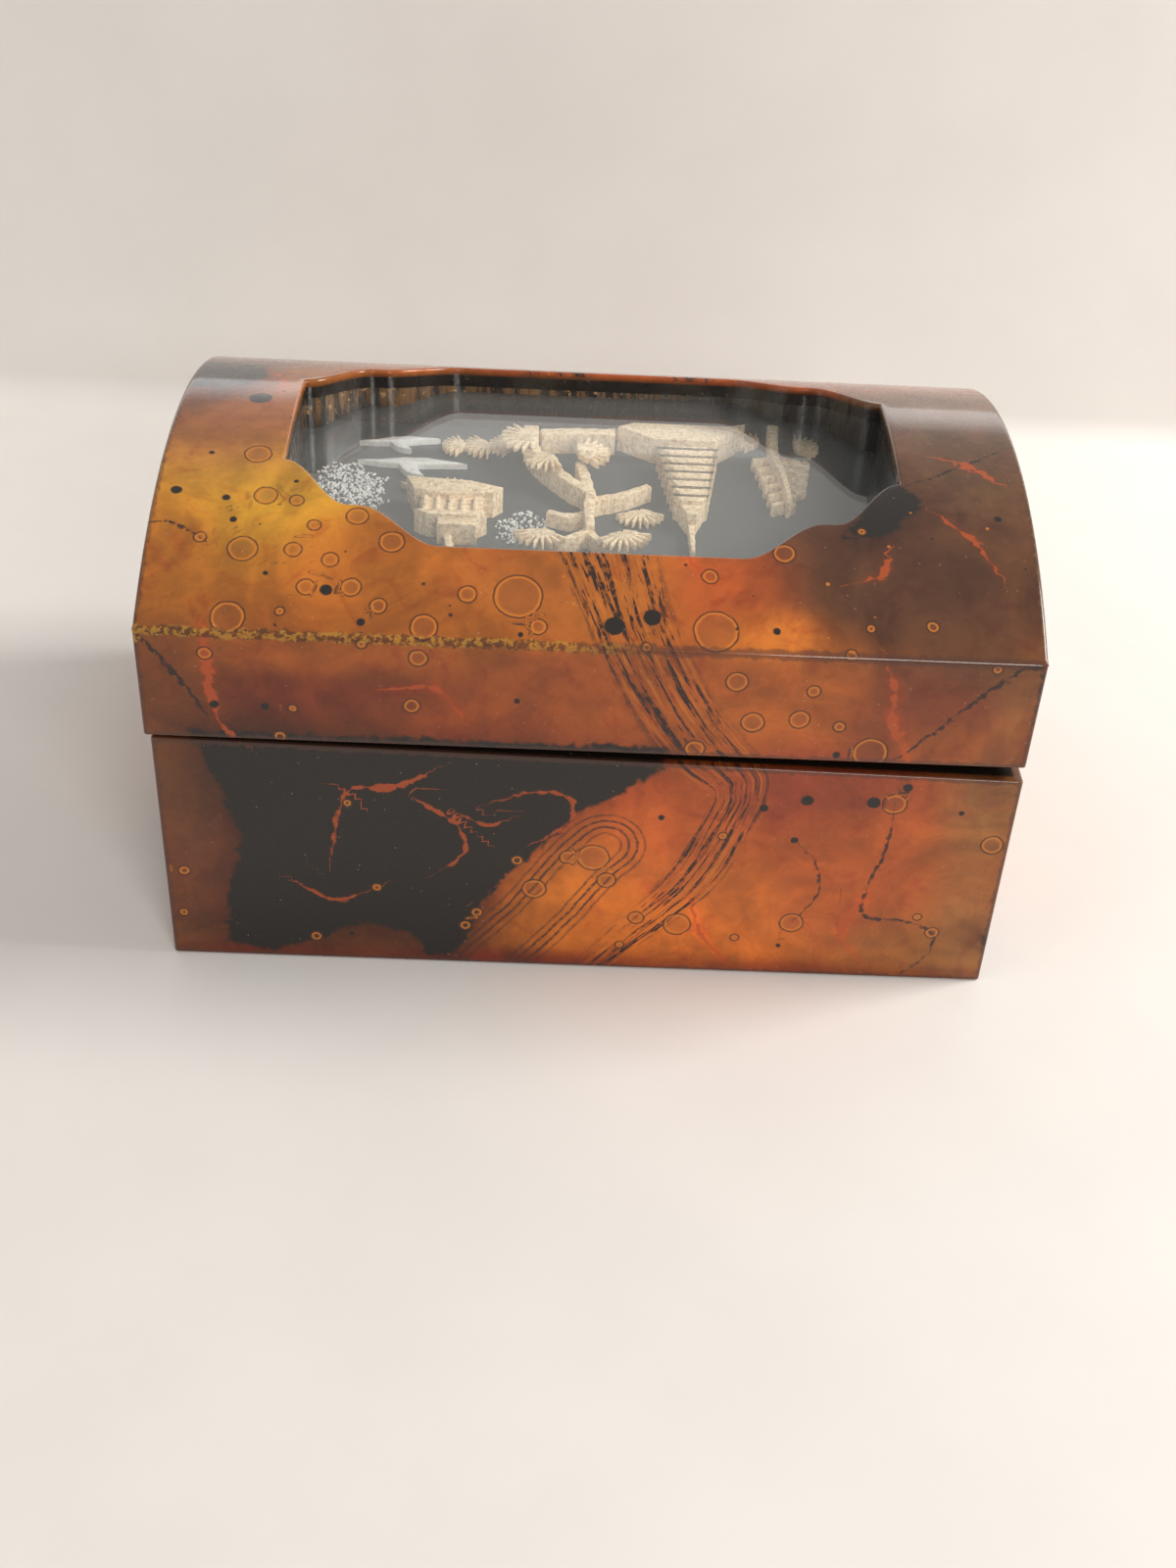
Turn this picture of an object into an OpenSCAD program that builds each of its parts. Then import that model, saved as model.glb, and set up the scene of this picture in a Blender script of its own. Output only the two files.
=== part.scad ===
// Arched-lid lacquered trinket box with a glazed carved picture in its lid.
// Millimetres, +Z up, front towards -Y, origin at the centre of the underside.

/* [Box] */
// Width of the base, left to right
box_w = 170; // [140:1:240]
// Depth of the box, front to back
box_d = 116; // [108:1:160]
// Height of the parting line above the table
base_h = 56; // [40:1:90]
// Thickness of the wall boards
board_t = 8; // [7.5:0.5:11]
// Thickness of the floor board
floor_t = 5; // [3:0.5:8]
// Gap between the closed lid and the boards below it
lid_gap = 0.4; // [0.3:0.1:1]
// How far the top edge has shrunk away at the front right corner
corner_sag = 2.7; // [0:0.1:4]
// Glue line between pieces that meet on a curve
glue = 0.05; // [0.02:0.01:0.1]

/* [Lid] */
// Height of the lid's upright walls
lid_wall = 24; // [22:1:40]
// How far the lid stands past the base at each end
lid_overhang = 0.5; // [0:0.1:2]
// How far the lid sits to the left of the base
lid_shift = 0.7; // [0:0.1:1.5]
// Rise of the arch above the walls
dome_rise = 17.5; // [14:0.5:24]
// Thickness of the arched panel
dome_t = 4; // [3:0.25:6]

/* [Window] */
// Width of the cartouche opening
window_w = 121.5; // [100:0.5:128]
// Depth of the cartouche opening, between its straight edges
window_d = 76; // [66:1:78]
// How far the opening sits in front of the lid's middle
window_shift = 1; // [0:0.1:1.5]
// How far the opening sits to the left of the lid's middle
window_side_shift = 0.7; // [0:0.1:1.5]
// Length of the straight edge at the front and back of the opening
window_straight = 58; // [40:1:60]
// Width of the small shoulder between the two scallops
shoulder_w = 2; // [1:0.5:4]
// Depth of the first scallop
scallop_d = 9; // [6:0.5:11]
// Length of the straight edge at each end of the opening
window_end = 34; // [20:1:36]
// How far the glass reaches under the opening's edge
glass_lap = 1.4; // [1:0.1:3]
// Thickness of the glass
glass_t = 2; // [1.5:0.1:3]

/* [Picture] */
// Depth of the space between the glass and the backing
picture_depth = 9; // [8:0.5:12]
// Thickness of the backing board
backing_t = 2; // [1.5:0.1:3]
// Thickness of the strips round the picture
strip_t = 3.5; // [2.5:0.1:4]
// Thickness of a carved cork sheet
cork_t = 2.4; // [1.5:0.1:3]
// Number of storeys on the pagoda
storeys = 7; // [5:1:9]

/* [Lining] */
// Thickness of the velvet pads
pad_t = 3; // [2:0.5:5]
// Thickness of the velvet-covered wall panels
panel_t = 1.2; // [0.8:0.1:2]
// How far the wall panels stop below the rim
panel_drop = 5; // [4:0.5:10]
// Clearance round a pad or a wall panel
pad_clear = 0.3; // [0.2:0.1:1]

/* [Hinges] */
// Length of a hinge
hinge_l = 18; // [14:1:26]
// Distance of each hinge from the middle
hinge_x = 46; // [30:1:60]
// How far the hinge axis lies inside the back face
hinge_inset = 2.2; // [2:0.1:2.6]
// Radius of the knuckles
knuckle_r = 1.6; // [1.4:0.1:1.8]
// Radius of the hinge pin
pin_r = 0.7; // [0.5:0.1:0.8]
// Running clearance between a pin and its knuckles
pin_clear = 0.05; // [0.02:0.01:0.08]
// Thickness of a hinge leaf
leaf_t = 0.8; // [0.6:0.1:1]
// Clearance round the knuckles
knuckle_clear = 0.3; // [0.3:0.05:0.5]
// Radius of a screw's shank
screw_r = 0.5; // [0.4:0.05:0.6]
// Length of a screw
screw_l = 5.5; // [4:0.5:7]
// Angle to which the lid opens
open_angle = 100; // [90:1:110]

/* [Hidden] */
$fn = 48;
eps = 0.01;
arch_fn = 180;

lacquer = "sienna";
velvet = "firebrick";
cork = "wheat";
brass = "goldenrod";

// Base
rim_z = base_h - lid_gap;
in_w = box_w - 2 * board_t;
in_d = box_d - 2 * board_t;
front_y = -box_d / 2;
back_y = box_d / 2;

// Lid: an arc through both ridges and the apex
lid_w = box_w + 2 * lid_overhang;
lid_in_w = lid_w - 2 * board_t;
ridge_z = base_h + lid_wall;
apex_z = ridge_z + dome_rise;
arch_r = (box_d * box_d / 4 + dome_rise * dome_rise) / (2 * dome_rise);
arch_z = apex_z - arch_r;
under_r = arch_r - dome_t;

// Window and picture, from the top down
near_reach = window_d / 2 + window_shift + glass_lap;
glass_z = arch_z + sqrt(under_r * under_r - near_reach * near_reach);
glass_w = window_w + 2 * (window_side_shift + glass_lap);
glass_d = 2 * (near_reach - 0.2);
picture_z = glass_z - glass_t - picture_depth;
backing_z = picture_z - backing_t;
backing_fit = 0.1;
strip_in_w = glass_w - 1;
strip_in_d = glass_d - 1;

// The carving is drawn for a space of this size and scaled to fit the real one
drawn_w = 124.7;
drawn_d = 79.4;
picture_scale = min(strip_in_w / drawn_w, strip_in_d / drawn_d);

// Hinges: axis in the middle of the parting gap, edges bevelled behind it
axis_y = back_y - hinge_inset;
axis_z = base_h - lid_gap / 2;
bevel_angle = open_angle / 2 - 3;
bevel_relief = 0.3;
bevel_h = hinge_inset * tan(bevel_angle) + bevel_relief / cos(bevel_angle);
bevel_y = axis_y - (bevel_relief / cos(bevel_angle) - lid_gap / 2) / tan(bevel_angle);
bore_r = pin_r + pin_clear;
channel_r = knuckle_r + knuckle_clear;
leaf_in_y = in_d / 2 + 0.6;
leaf_out_y = axis_y - channel_r;
screw_y = (leaf_in_y + leaf_out_y) / 2;
screw_head_r = 2.2 * screw_r;
screw_dx = hinge_l / 4;
knuckle_l = hinge_l / 3;
knuckle_gap = 0.2;
leaf_fit = 0.1;
screw_fit = 0.05;

// ---------- helpers ----------

// A box given by its lowest and highest corners
module block(low, high) {
    translate(low) cube(high - low);
}

// A prism along X whose section is drawn in Y and Z
module along_x(x0, length) {
    translate([x0, 0, 0]) rotate([90, 0, 90]) linear_extrude(length) children();
}

// A disc sector's worth of the arch, as a section in Y and Z
module arch_disc(r) {
    translate([0, arch_z]) circle(r, $fn = arch_fn);
}

// One S-shaped scallop from point a to point b, flat at both ends
function scallop(a, b, steps = 7) = [
    for (i = [0:steps])
        let (t = i / steps)
        [a.x + (b.x - a.x) * t, a.y + (b.y - a.y) * (1 - cos(180 * t)) / 2]
];

// One quarter of the cartouche, from its straight edge to its end
function cartouche_quarter() = let (
    shoulder_x = (window_straight + window_w) / 4 + 1.5,
    shoulder_y = window_d / 2 - scallop_d
) concat(
    scallop([window_straight / 2, window_d / 2], [shoulder_x - shoulder_w / 2, shoulder_y]),
    scallop([shoulder_x + shoulder_w / 2, shoulder_y], [window_w / 2, window_end / 2])
);

function flipped(points) = [for (i = [len(points) - 1:-1:0]) points[i]];
function scaled(points, sx, sy) = [for (p = points) [p.x * sx, p.y * sy]];

// Outline of the cartouche about its own centre
module cartouche() {
    q = cartouche_quarter();
    polygon(concat(q, scaled(flipped(q), 1, -1), scaled(q, -1, -1), scaled(flipped(q), -1, 1)));
}

// The opening right through the lid's top
module window_hole() {
    translate([-lid_shift - window_side_shift, -window_shift, glass_z - 1])
        linear_extrude(apex_z - glass_z + 2) cartouche();
}

// ---------- base ----------

module base_front_board() {
    color(lacquer) translate([0, front_y + board_t, 0]) rotate([90, 0, 0])
        linear_extrude(board_t) polygon([
            [-box_w / 2, 0], [box_w / 2, 0],
            [box_w / 2, rim_z - corner_sag], [-box_w / 2, rim_z]
        ]);
}

module base_back_board() {
    color(lacquer) difference() {
        along_x(-box_w / 2, box_w) polygon([
            [in_d / 2, 0], [back_y, 0], [back_y, axis_z - bevel_h],
            [bevel_y, rim_z], [in_d / 2, rim_z]
        ]);
        for (side = [-1, 1]) {
            hinge_channel(side);
            block([side * hinge_x - hinge_l / 2 - leaf_fit, leaf_in_y - leaf_fit, rim_z - leaf_t],
                  [side * hinge_x + hinge_l / 2 + leaf_fit, axis_y, rim_z + 1]);
        }
        hinge_screw_sites() screw_hole();
    }
}

module base_left_end() {
    color(lacquer) block([-box_w / 2, -in_d / 2, 0], [-in_w / 2, in_d / 2, rim_z]);
}

module base_right_end() {
    color(lacquer) along_x(in_w / 2, board_t) polygon([
        [-in_d / 2, 0], [in_d / 2, 0], [in_d / 2, rim_z], [-in_d / 2, rim_z - corner_sag]
    ]);
}

module base_floor_board() {
    color(lacquer) block([-in_w / 2, -in_d / 2, 0], [in_w / 2, in_d / 2, floor_t]);
}

// ---------- lining ----------

lining_z = floor_t + pad_t + pad_clear;
lining_top = rim_z - corner_sag - panel_drop;

module base_velvet_pad() {
    color(velvet) block([-in_w / 2 + pad_clear, -in_d / 2 + pad_clear, floor_t],
                        [in_w / 2 - pad_clear, in_d / 2 - pad_clear, floor_t + pad_t]);
}

module long_lining(side) {
    inner = side * (in_d / 2 - panel_t);
    outer = side * in_d / 2;
    color(velvet)
        block([-in_w / 2, min(inner, outer), lining_z], [in_w / 2, max(inner, outer), lining_top]);
}

module end_lining(side) {
    inner = side * (in_w / 2 - panel_t);
    outer = side * in_w / 2;
    reach = in_d / 2 - panel_t;
    color(velvet) block([min(inner, outer), -reach, lining_z], [max(inner, outer), reach, lining_top]);
}

// ---------- hinges ----------

// Room for the knuckles in the two back edges
module hinge_channel(side) {
    translate([side * hinge_x - hinge_l / 2 - 0.2, axis_y, axis_z])
        rotate([0, 90, 0]) cylinder(h = hinge_l + 0.4, r = channel_r);
}

// The four screw places on the lower leaves' top faces
module hinge_screw_sites() {
    for (side = [-1, 1], k = [-1, 1])
        translate([side * hinge_x + k * screw_dx, screw_y, rim_z]) children();
}

// The same places turned over for the upper leaves
module lid_screw_sites() {
    for (side = [-1, 1], k = [-1, 1])
        translate([side * hinge_x + k * screw_dx, screw_y, base_h]) rotate([180, 0, 0]) children();
}

// Pilot hole of a screw, open at the board's face
module screw_hole() {
    translate([0, 0, -screw_l - 0.2]) cylinder(h = screw_l + 1, r = screw_r + screw_fit);
}

module screw() {
    union() {
        translate([0, 0, -leaf_t]) cylinder(h = leaf_t, r1 = screw_r, r2 = screw_head_r);
        translate([0, 0, -screw_l]) cylinder(h = screw_l - leaf_t + eps, r = screw_r);
    }
}

module knuckle(x0, length) {
    translate([x0, axis_y, axis_z]) rotate([0, 90, 0]) cylinder(h = length, r = knuckle_r);
}

// A leaf with its knuckles: stretches is a list of [start, length] along the hinge
module leaf(side, face_z, up, stretches) {
    x0 = side * hinge_x - hinge_l / 2;
    z_low = up > 0 ? face_z : face_z - leaf_t;
    color(brass) difference() {
        union() {
            block([x0, leaf_in_y, z_low], [x0 + hinge_l, leaf_out_y, z_low + leaf_t]);
            for (s = stretches) {
                block([x0 + s[0], leaf_out_y - eps, z_low], [x0 + s[0] + s[1], axis_y, z_low + leaf_t]);
                knuckle(x0 + s[0], s[1]);
            }
        }
        translate([x0 - 1, axis_y, axis_z]) rotate([0, 90, 0]) cylinder(h = hinge_l + 2, r = bore_r);
        for (k = [-1, 1])
            translate([side * hinge_x + k * screw_dx, screw_y, face_z]) rotate([up > 0 ? 180 : 0, 0, 0]) {
                translate([0, 0, -leaf_t - eps])
                    cylinder(h = leaf_t + 2 * eps, r1 = screw_r + screw_fit, r2 = screw_head_r + screw_fit);
            }
    }
}

module hinge_leaf_base(side) {
    leaf(side, rim_z, -1, [[0, knuckle_l - knuckle_gap / 2],
                           [2 * knuckle_l + knuckle_gap / 2, knuckle_l - knuckle_gap / 2]]);
}

module hinge_leaf_lid(side) {
    leaf(side, base_h, 1, [[knuckle_l + knuckle_gap / 2, knuckle_l - knuckle_gap]]);
}

module hinge_pin(side) {
    color(brass) translate([side * hinge_x - hinge_l / 2, axis_y, axis_z])
        rotate([0, 90, 0]) cylinder(h = hinge_l, r = pin_r);
}

module base_hinge_screws() {
    color(brass) hinge_screw_sites() screw();
}

module lid_hinge_screws() {
    color(brass) lid_screw_sites() screw();
}

// ---------- lid ----------

module lid_front_rail() {
    color(lacquer) block([-lid_w / 2 - lid_shift, front_y, base_h],
                         [lid_w / 2 - lid_shift, front_y + board_t, ridge_z]);
}

module lid_back_rail() {
    color(lacquer) difference() {
        along_x(-lid_w / 2 - lid_shift, lid_w) polygon([
            [in_d / 2, base_h], [bevel_y, base_h], [back_y, axis_z + bevel_h],
            [back_y, ridge_z], [in_d / 2, ridge_z]
        ]);
        for (side = [-1, 1]) {
            hinge_channel(side);
            block([side * hinge_x - hinge_l / 2 - leaf_fit, leaf_in_y - leaf_fit, base_h - 1],
                  [side * hinge_x + hinge_l / 2 + leaf_fit, axis_y, base_h + leaf_t]);
        }
        lid_screw_sites() screw_hole();
    }
}

module lid_end(side) {
    x0 = side > 0 ? lid_in_w / 2 : -lid_w / 2;
    color(lacquer) along_x(x0 - lid_shift, board_t) intersection() {
        translate([-in_d / 2, base_h]) square([in_d, lid_wall + dome_rise]);
        arch_disc(under_r - glue);
    }
}

module lid_dome() {
    color(lacquer) difference() {
        along_x(-lid_w / 2 - lid_shift, lid_w) intersection() {
            difference() {
                arch_disc(arch_r);
                arch_disc(under_r);
            }
            translate([-box_d / 2, ridge_z]) square([box_d, dome_rise + 1]);
        }
        window_hole();
    }
}

module window_surround() {
    color("black") difference() {
        along_x(-glass_w / 2 - lid_shift, glass_w) intersection() {
            arch_disc(under_r - glue);
            translate([-glass_d / 2, glass_z]) square([glass_d, dome_rise]);
        }
        window_hole();
    }
}

module window_glass() {
    color("lightcyan", 0.4) translate([-lid_shift, 0, 0])
        block([-glass_w / 2, -glass_d / 2, glass_z - glass_t], [glass_w / 2, glass_d / 2, glass_z]);
}

module picture_backing() {
    color("darkslategray") translate([-lid_shift, 0, 0])
        block([-lid_in_w / 2 + backing_fit, -in_d / 2 + backing_fit, backing_z],
              [lid_in_w / 2 - backing_fit, in_d / 2 - backing_fit, picture_z]);
}

module long_strip(side) {
    inner = side * strip_in_d / 2;
    outer = side * (strip_in_d / 2 + strip_t);
    color("black") translate([-lid_shift, 0, 0])
        block([-strip_in_w / 2 - strip_t, min(inner, outer), picture_z],
              [strip_in_w / 2 + strip_t, max(inner, outer), glass_z - glass_t]);
}

module end_strip(side) {
    inner = side * strip_in_w / 2;
    outer = side * (strip_in_w / 2 + strip_t);
    color("black") translate([-lid_shift, 0, 0])
        block([min(inner, outer), -strip_in_d / 2, picture_z],
              [max(inner, outer), strip_in_d / 2, glass_z - glass_t]);
}

module lid_velvet_pad() {
    color(velvet) translate([-lid_shift, 0, 0])
        block([-lid_in_w / 2 + pad_clear, -in_d / 2 + pad_clear, backing_z - pad_t],
              [lid_in_w / 2 - pad_clear, in_d / 2 - pad_clear, backing_z]);
}

// ---------- picture, drawn the right way up for a viewer behind the box ----------

// Picture coordinates: u to the right and v up for that viewer, w above the backing
module in_picture(w = 0) {
    translate([-lid_shift, 0, picture_z + w * picture_scale]) rotate([0, 0, 180])
        scale(picture_scale) children();
}

// A carved stick between two points of the picture
module stick(a, b, width, thick = cork_t) {
    d = b - a;
    translate([a.x, a.y, 0]) rotate([0, 0, atan2(d.y, d.x)])
        translate([0, -width / 2, 0]) cube([norm(d), width, thick]);
}

// One side of a limb: the points moved sideways by half the width there
function limb_side(points, w0, w1, side) = let (n = len(points) - 1) [
    for (i = [0:n])
        let (
            d = points[min(i + 1, n)] - points[max(i - 1, 0)],
            w = w0 + (w1 - w0) * i / n
        )
        points[i] + side * w / 2 * [-d.y, d.x] / norm(d)
];

// A limb that follows a list of points and gets thinner
module limb(points, w0, w1, thick = cork_t) {
    linear_extrude(thick)
        polygon(concat(limb_side(points, w0, w1, -1), flipped(limb_side(points, w0, w1, 1))));
}

// A leaf fan: a half disc with a notched rim, opening towards angle a
module fan(at, r, a, thick = cork_t) {
    teeth = 7;
    translate([at.x, at.y, 0]) rotate([0, 0, a - 90]) linear_extrude(thick) polygon(concat(
        [[0, 0]],
        [for (i = [0:2 * teeth])
            let (t = 180 * i / (2 * teeth), reach = (i % 2 == 0) ? r : 0.78 * r)
            reach * [cos(t), 0.7 * sin(t)]]
    ));
}

pagoda_at = [-20.6, -23];
pagoda_w = 12.4;
pagoda_top_w = 6.6;
storey_h = 3.5;
spire_l = 15;

module carved_pagoda() {
    color(cork) in_picture() translate([pagoda_at.x, pagoda_at.y, 0]) {
        for (i = [0:storeys - 1]) {
            w = pagoda_w + (pagoda_top_w - pagoda_w) * i / (storeys - 1);
            translate([-w / 2 + 0.9, i * storey_h, 0]) cube([w - 1.8, storey_h, 2 * cork_t]);
            translate([-w / 2, (i + 0.62) * storey_h, 0]) cube([w, 0.34 * storey_h, 2.5 * cork_t]);
        }
        translate([-pagoda_top_w / 2 + 0.9, storeys * storey_h, 0]) linear_extrude(2 * cork_t)
            polygon([
                [0, 0], [pagoda_top_w - 1.8, 0],
                [pagoda_top_w / 2 - 0.4, 5], [pagoda_top_w / 2 - 1.4, 5]
            ]);
        translate([-0.6, storeys * storey_h, 0]) cube([1.2, spire_l, cork_t]);
    }
}

module carved_landing() {
    color(cork) in_picture() {
        linear_extrude(2.5 * cork_t) polygon([
            [-34, -34.5], [-27, -25.5], [-13, -25.5], [-5.5, -31], [-9, -33], [-30, -33]
        ]);
        translate([-30, -37.5, 0]) cube([24, 3, cork_t]);
        fan([-28, -36], 4, -90);
        fan([-18, -36], 4.5, -90);
        fan([-8, -36], 4, -90);
    }
}

module carved_bridge() {
    color(cork) in_picture() {
        stick([-4.8, -30.2], [11.6, -29], 3.2, 2 * cork_t);
        for (i = [0:3]) stick([-4 + 5 * i, -31.5], [-4 + 5 * i, -34.5], 1.2, cork_t);
        stick([-4.8, -34.2], [18, -33.6], 1.2, cork_t);
    }
}

trunk = [[14, -32], [12.7, -20], [5, -7.5], [0.8, -2.7], [1, 3.5], [0.6, 12]];

module carved_tree() {
    color(cork) in_picture() {
        limb(trunk, 3, 1.8, 2 * cork_t);
        limb([[0.9, -2.2], [1.8, -10], [3, -16]], 2.6, 2, 1.9 * cork_t);
        limb([[0.5, -1.2], [-6, -4], [-12, -8.5]], 2.4, 1.8, 1.5 * cork_t);
        limb([[1, 4], [5, 5.5], [9.5, 4]], 2.2, 1.6, 1.4 * cork_t);
        limb([[0.3, 11], [6, 15.5], [11, 15.5]], 1.8, 1.4, 1.5 * cork_t);
        limb([[1, 11.3], [-2, 15.5], [-7, 15]], 1.8, 1.4, 1.4 * cork_t);
    }
}

module carved_foliage() {
    color(cork) in_picture(2 * cork_t + glue) {
        fan([2.8, -17.5], 5, 200);
        fan([13.5, -24], 5.5, 20);
        fan([9.5, -15], 4.5, 45);
    }
    color(cork) in_picture(1.5 * cork_t + glue) {
        fan([10.5, 15.5], 4.5, 60);
        fan([-6, 15], 4.5, 100);
    }
    color(cork) in_picture() {
        fan([-10, -0.8], 4.4, 90);
        fan([18.5, -29], 4, 0);
        fan([23.5, -28.5], 4.5, 20);
        fan([29, -28], 4, 0);
    }
}

module carved_pavilion() {
    color(cork) in_picture() {
        translate([23, 2, 0]) cube([13, 8, 2 * cork_t]);
        linear_extrude(2.5 * cork_t)
            polygon([[19, -0.5], [39.5, -4], [37.5, 1.5], [31, 3], [21, 2]]);
        translate([24, 10.5, 0]) cube([8, 3.2, 2 * cork_t]);
        limb([[30, 13.5], [29, 18.5]], 2, 1.6);
        stick([30, -1], [30.5, -7], 1.5);
        stick([36, -2.5], [36.5, -8], 1.5);
        fan([30.5, -7], 4, -80);
        fan([36.5, -6.5], 4, -100);
    }
}

// A flying crane: body, neck and two wings, about its own middle
module crane(at, a, size) {
    translate([at.x, at.y, 0]) rotate([0, 0, a]) scale(size) linear_extrude(1.4) polygon([
        [-12, 0.6], [-7, -0.6], [-3, -1.6], [2, -1.4], [7, 0], [12, 0.2], [7, 1.2],
        [3, 1.4], [1, 5], [-3, 6.5], [-1, 1.6], [-6, 1]
    ]);
}

module carved_cranes() {
    color("white") in_picture() {
        crane([39.5, -19.5], 0, 1);
        crane([43, -29.5], 8, 0.75);
    }
}

blossom_t = 1.2;
small_trunk = [
    [-41.7, -37], [-39.3, -37], [-39.1, -24], [-40.6, -12], [-41.2, -3],
    [-42.1, -3], [-42.2, -12], [-41, -24]
];

module carved_small_tree() {
    color(cork) in_picture() {
        linear_extrude(2 * cork_t) polygon(small_trunk);
        for (i = [0:5]) {
            y = -26 + 4 * i;
            r = 5.5 - 0.6 * i;
            stick([-40.4, y - 0.4], [-40.6 - r, y + 1.5], 1.4);
            stick([-41, y + 0.7], [-40.8 + r, y + 2.4], 1.3, 1.2 * cork_t);
        }
        fan([-46, -34], 4, -160);
        fan([-37, -35], 3.6, -20);
    }
}

// Ground blossom: two low pads that carry the white beads
module carved_blossom() {
    color("ivory") in_picture() {
        translate([51, -10, 0]) cylinder(h = blossom_t, r = 7.5);
        translate([14.6, 6.4, 0]) cylinder(h = blossom_t, r = 4.2);
    }
}

// ---------- what is shown ----------

base_front_board();
base_back_board();
base_left_end();
base_right_end();
base_floor_board();
base_velvet_pad();
long_lining(-1);  // lining_front
long_lining(1);  // lining_back
end_lining(-1);  // lining_left
end_lining(1);  // lining_right
hinge_leaf_base(-1);  // hinge_leaf_base_left
hinge_leaf_base(1);  // hinge_leaf_base_right
hinge_pin(-1);  // hinge_pin_left
hinge_pin(1);  // hinge_pin_right
base_hinge_screws();
lid_front_rail();
lid_back_rail();
lid_end(-1);  // lid_left_end
lid_end(1);  // lid_right_end
lid_dome();
window_surround();
window_glass();
picture_backing();
long_strip(-1);  // picture_strip_front
long_strip(1);  // picture_strip_back
end_strip(-1);  // picture_strip_left
end_strip(1);  // picture_strip_right
carved_pagoda();
carved_landing();
carved_bridge();
carved_tree();
carved_foliage();
carved_pavilion();
carved_cranes();
carved_small_tree();
carved_blossom();
lid_velvet_pad();
hinge_leaf_lid(-1);  // hinge_leaf_lid_left
hinge_leaf_lid(1);  // hinge_leaf_lid_right
lid_hinge_screws();
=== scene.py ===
"""Looks of an arched-lid lacquered trinket box, built around its CAD frame. Sizes here are in millimetres."""

import logging
import math
from dataclasses import dataclass, field
from enum import Enum
from typing import Callable, Sequence

import bmesh
import bpy
import numpy as np
from mathutils import Matrix, Vector


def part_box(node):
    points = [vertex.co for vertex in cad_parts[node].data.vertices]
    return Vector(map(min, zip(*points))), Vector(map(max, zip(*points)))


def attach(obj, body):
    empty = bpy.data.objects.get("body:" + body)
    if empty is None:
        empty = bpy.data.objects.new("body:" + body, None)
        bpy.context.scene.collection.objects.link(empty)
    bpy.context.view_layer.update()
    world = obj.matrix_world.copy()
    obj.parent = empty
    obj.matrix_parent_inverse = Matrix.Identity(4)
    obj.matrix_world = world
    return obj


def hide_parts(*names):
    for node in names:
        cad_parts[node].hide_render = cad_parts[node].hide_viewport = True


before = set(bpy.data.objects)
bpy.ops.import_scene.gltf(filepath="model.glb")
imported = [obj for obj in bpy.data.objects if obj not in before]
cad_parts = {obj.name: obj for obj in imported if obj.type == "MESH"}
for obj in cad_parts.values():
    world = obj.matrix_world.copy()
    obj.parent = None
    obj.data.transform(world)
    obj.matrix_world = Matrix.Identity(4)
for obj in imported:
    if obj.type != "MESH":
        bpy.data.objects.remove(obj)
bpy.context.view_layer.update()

LOG = logging.getLogger("trinket_box")
MM = 0.001
Colour = tuple[float, float, float]
Socket = bpy.types.NodeSocket


class Body(Enum):
    """The moving body that a piece rides on."""

    BASE = "base"
    LID = "lid"

    @classmethod
    def of(cls, node: str) -> "Body":
        """Body of a board, told by the start of its name."""
        return cls.BASE if node.startswith(cls.BASE.value) else cls.LID


# ---------------------------------------------------------------- sizes from the frame


def node_points(node: str) -> np.ndarray:
    """Vertices of a CAD node at rest.

    Args:
        node: name of the CAD node.

    Returns:
        An array of points in millimetres, one row each.
    """
    return mesh_points(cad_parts[node])


def mesh_points(obj: bpy.types.Object) -> np.ndarray:
    """Vertices of an object's mesh in millimetres, one row each."""
    points = np.empty(len(obj.data.vertices) * 3)
    obj.data.vertices.foreach_get("co", points)
    return points.reshape(-1, 3) / MM


def node_box(node: str) -> tuple[np.ndarray, np.ndarray]:
    """Lowest and highest corners of a CAD node in millimetres."""
    low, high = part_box(node)
    return np.array(low) / MM, np.array(high) / MM


@dataclass(frozen=True)
class Arch:
    """The arc of the lid's top, in the plane of Y and Z."""

    half_depth: float
    ridge_z: float
    apex_z: float

    @property
    def radius(self) -> float:
        """Radius of the arc through both ridges and the apex."""
        rise = self.apex_z - self.ridge_z
        return (self.half_depth**2 + rise**2) / (2 * rise)

    @property
    def centre_z(self) -> float:
        """Height of the arc's centre."""
        return self.apex_z - self.radius

    @property
    def length(self) -> float:
        """Length of the arc from ridge to ridge."""
        return 2 * self.radius * math.asin(self.half_depth / self.radius)

    def height(self, y: np.ndarray, inset: float = 0.0) -> np.ndarray:
        """Height of the arc, or of the arc inset below it, at a depth y."""
        return self.centre_z + np.sqrt((self.radius - inset) ** 2 - np.square(y))

    def run(self, y: np.ndarray) -> np.ndarray:
        """Distance up the front wall and along the arc to the point at depth y."""
        return self.ridge_z + self.length / 2 + self.radius * np.arcsin(np.clip(y / self.radius, -1, 1))


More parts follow.
